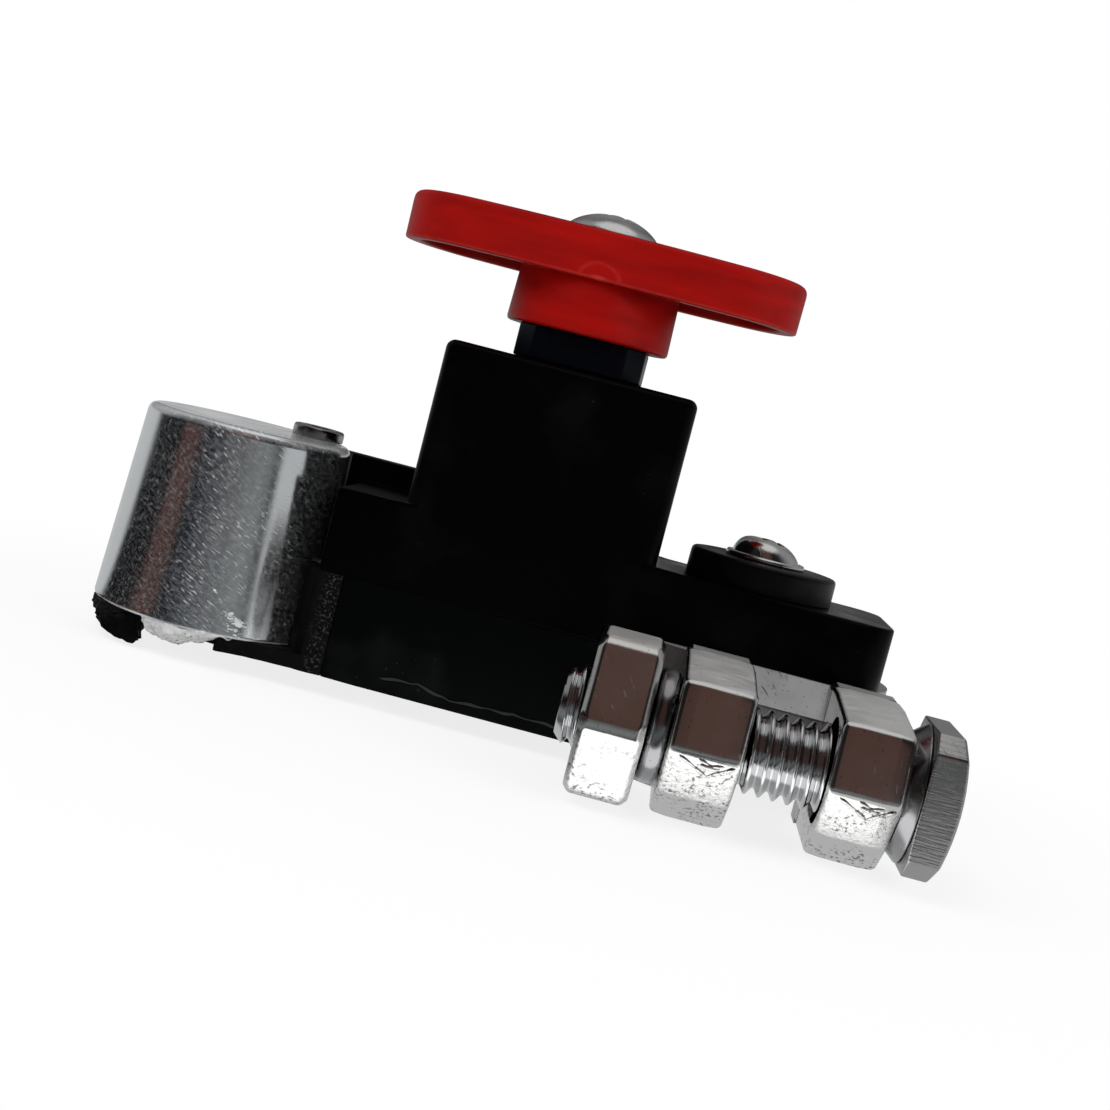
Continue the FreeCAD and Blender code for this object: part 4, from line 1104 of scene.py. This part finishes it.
housing_black = black_moulding("housing_black", (0.0006, 0.0006, 0.0007), (0.05, 0.05, 0.05),
                               (0.25, 0.4), dust=0.25, specular=0.06)
lower_black = black_moulding("lower_black", (0.0006, 0.001, 0.0012), (0.08, 0.085, 0.08),
                             (0.45, 0.65), dust=0.35, coarse=0.04, specular=0.09)
resin_black = black_moulding("resin_black", (0.0025, 0.0025, 0.0025), (0.16, 0.15, 0.14),
                             (0.4, 0.8), dust=0.6, coarse=0.12, specular=0.2, seam_at=-31.6)
cap_black = black_moulding("cap_black", (0.0009, 0.0009, 0.001), (0.06, 0.06, 0.06),
                           (0.3, 0.45), dust=0.4, specular=0.2)
rotor_black = black_moulding("rotor_black", (0.0007, 0.0012, 0.0035), (0.02, 0.025, 0.05),
                             (0.25, 0.4), dust=0.1, specular=0.1)
seal_rubber = black_moulding("seal_rubber", (0.008, 0.008, 0.008), (0.1, 0.1, 0.1), (0.6, 0.8))
flash_black = black_moulding("lower_black_flash", (0.02, 0.021, 0.022), (0.15, 0.15, 0.15),
                             (0.3, 0.5), dust=0.4)
knob_red = knob_plastic()
post_plate = worn_post_plating()
clamp_plate = plating("plated_clamp", (0.5, 0.5, 0.5), (0.36, 0.36, 0.36), (0.25, 0.4),
                      strokes=0.3, pits=0.5, grainy=0.06, fine=1500.0, satin=0.35)
steel_plate = plating("plated_steel", (0.76, 0.76, 0.75), (0.6, 0.6, 0.6), (0.12, 0.22),
                      strokes=0.3, grainy=0.03, satin=0.2)
nut_plate = plating("plated_nut", (0.76, 0.76, 0.75), (0.6, 0.6, 0.59), (0.12, 0.22),
                    strokes=0.3, grainy=0.03, satin=0.3, rough_below=5.0)
ear_plate = plating("plated_ears", (0.78, 0.78, 0.77), (0.6, 0.6, 0.59), (0.12, 0.24),
                    strokes=0.2, pits=0.5, grainy=0.03, fine=1300.0, satin=0.34,
                    rough_below=5.3)
thread_plate = plating("plated_thread", (0.72, 0.73, 0.74), (0.52, 0.52, 0.53), (0.12, 0.22),
                       strokes=0.2)
head_plate = plating("plated_head", (0.5, 0.5, 0.49), (0.34, 0.34, 0.34), (0.2, 0.32),
                     strokes=0.3, grainy=0.04, satin=0.2, shear_depth=0.55)
dark_plate = plating("plated_dark", (0.42, 0.42, 0.43), (0.25, 0.25, 0.26), (0.14, 0.26),
                     strokes=0.3, pits=0.4, satin=0.1)
torn_plate = plating("plated_torn", (0.95, 0.95, 0.95), (0.75, 0.75, 0.75), (0.2, 0.35),
                     strokes=0.3, grainy=0.15, fine=1400.0, satin=0.6, haze=0.6,
                     rough_below=3.2)
silver = plating("contact_silver", (0.85, 0.84, 0.8), (0.7, 0.69, 0.66), (0.25, 0.4))
copper = plating("contact_copper", (0.75, 0.42, 0.27), (0.55, 0.3, 0.2), (0.25, 0.4))
spring = plating("spring_steel", (0.5, 0.5, 0.52), (0.35, 0.35, 0.37), (0.25, 0.4))

SOLID_FINISH = {
    "base_screws": steel_plate, "post_contact": silver, "clamp_contact": silver,
    "contact_bridge": copper, "contact_spring": spring, "detent_ball": spring,
    "detent_spring": spring, "shaft_seal": seal_rubber,
}
for solid, finish in SOLID_FINISH.items():
    dress(solid, finish)

noise.seed_set(CRUMPLE_SEED)
soften("housing", housing_black, 0.2)
soften("base_cover", lower_black, 0.15)
soften("rotor_shaft", rotor_black, 0.15)
make_knob()
make_screw("knob_screw", Vector((KNOB_AXIS.x, KNOB_AXIS.y, KNOB_TOP)), 3.75, 1.78)
make_screw("cap_screw", Vector((CAP_AXIS.x, CAP_AXIS.y, 17.55)), 3.1, 1.75, flange=0.4)
make_cap()
make_post()
make_foot()
make_stud()
make_potting()
make_clamp()
make_bolt()
make_nut()
make_lock_washer()
make_collar()
make_flash()

SURROUNDINGS = surroundings_group()
build_camera()
build_world()
build_floor()
build_tent()
build_lamps()
bpy.context.scene.view_settings.view_transform = "Standard"
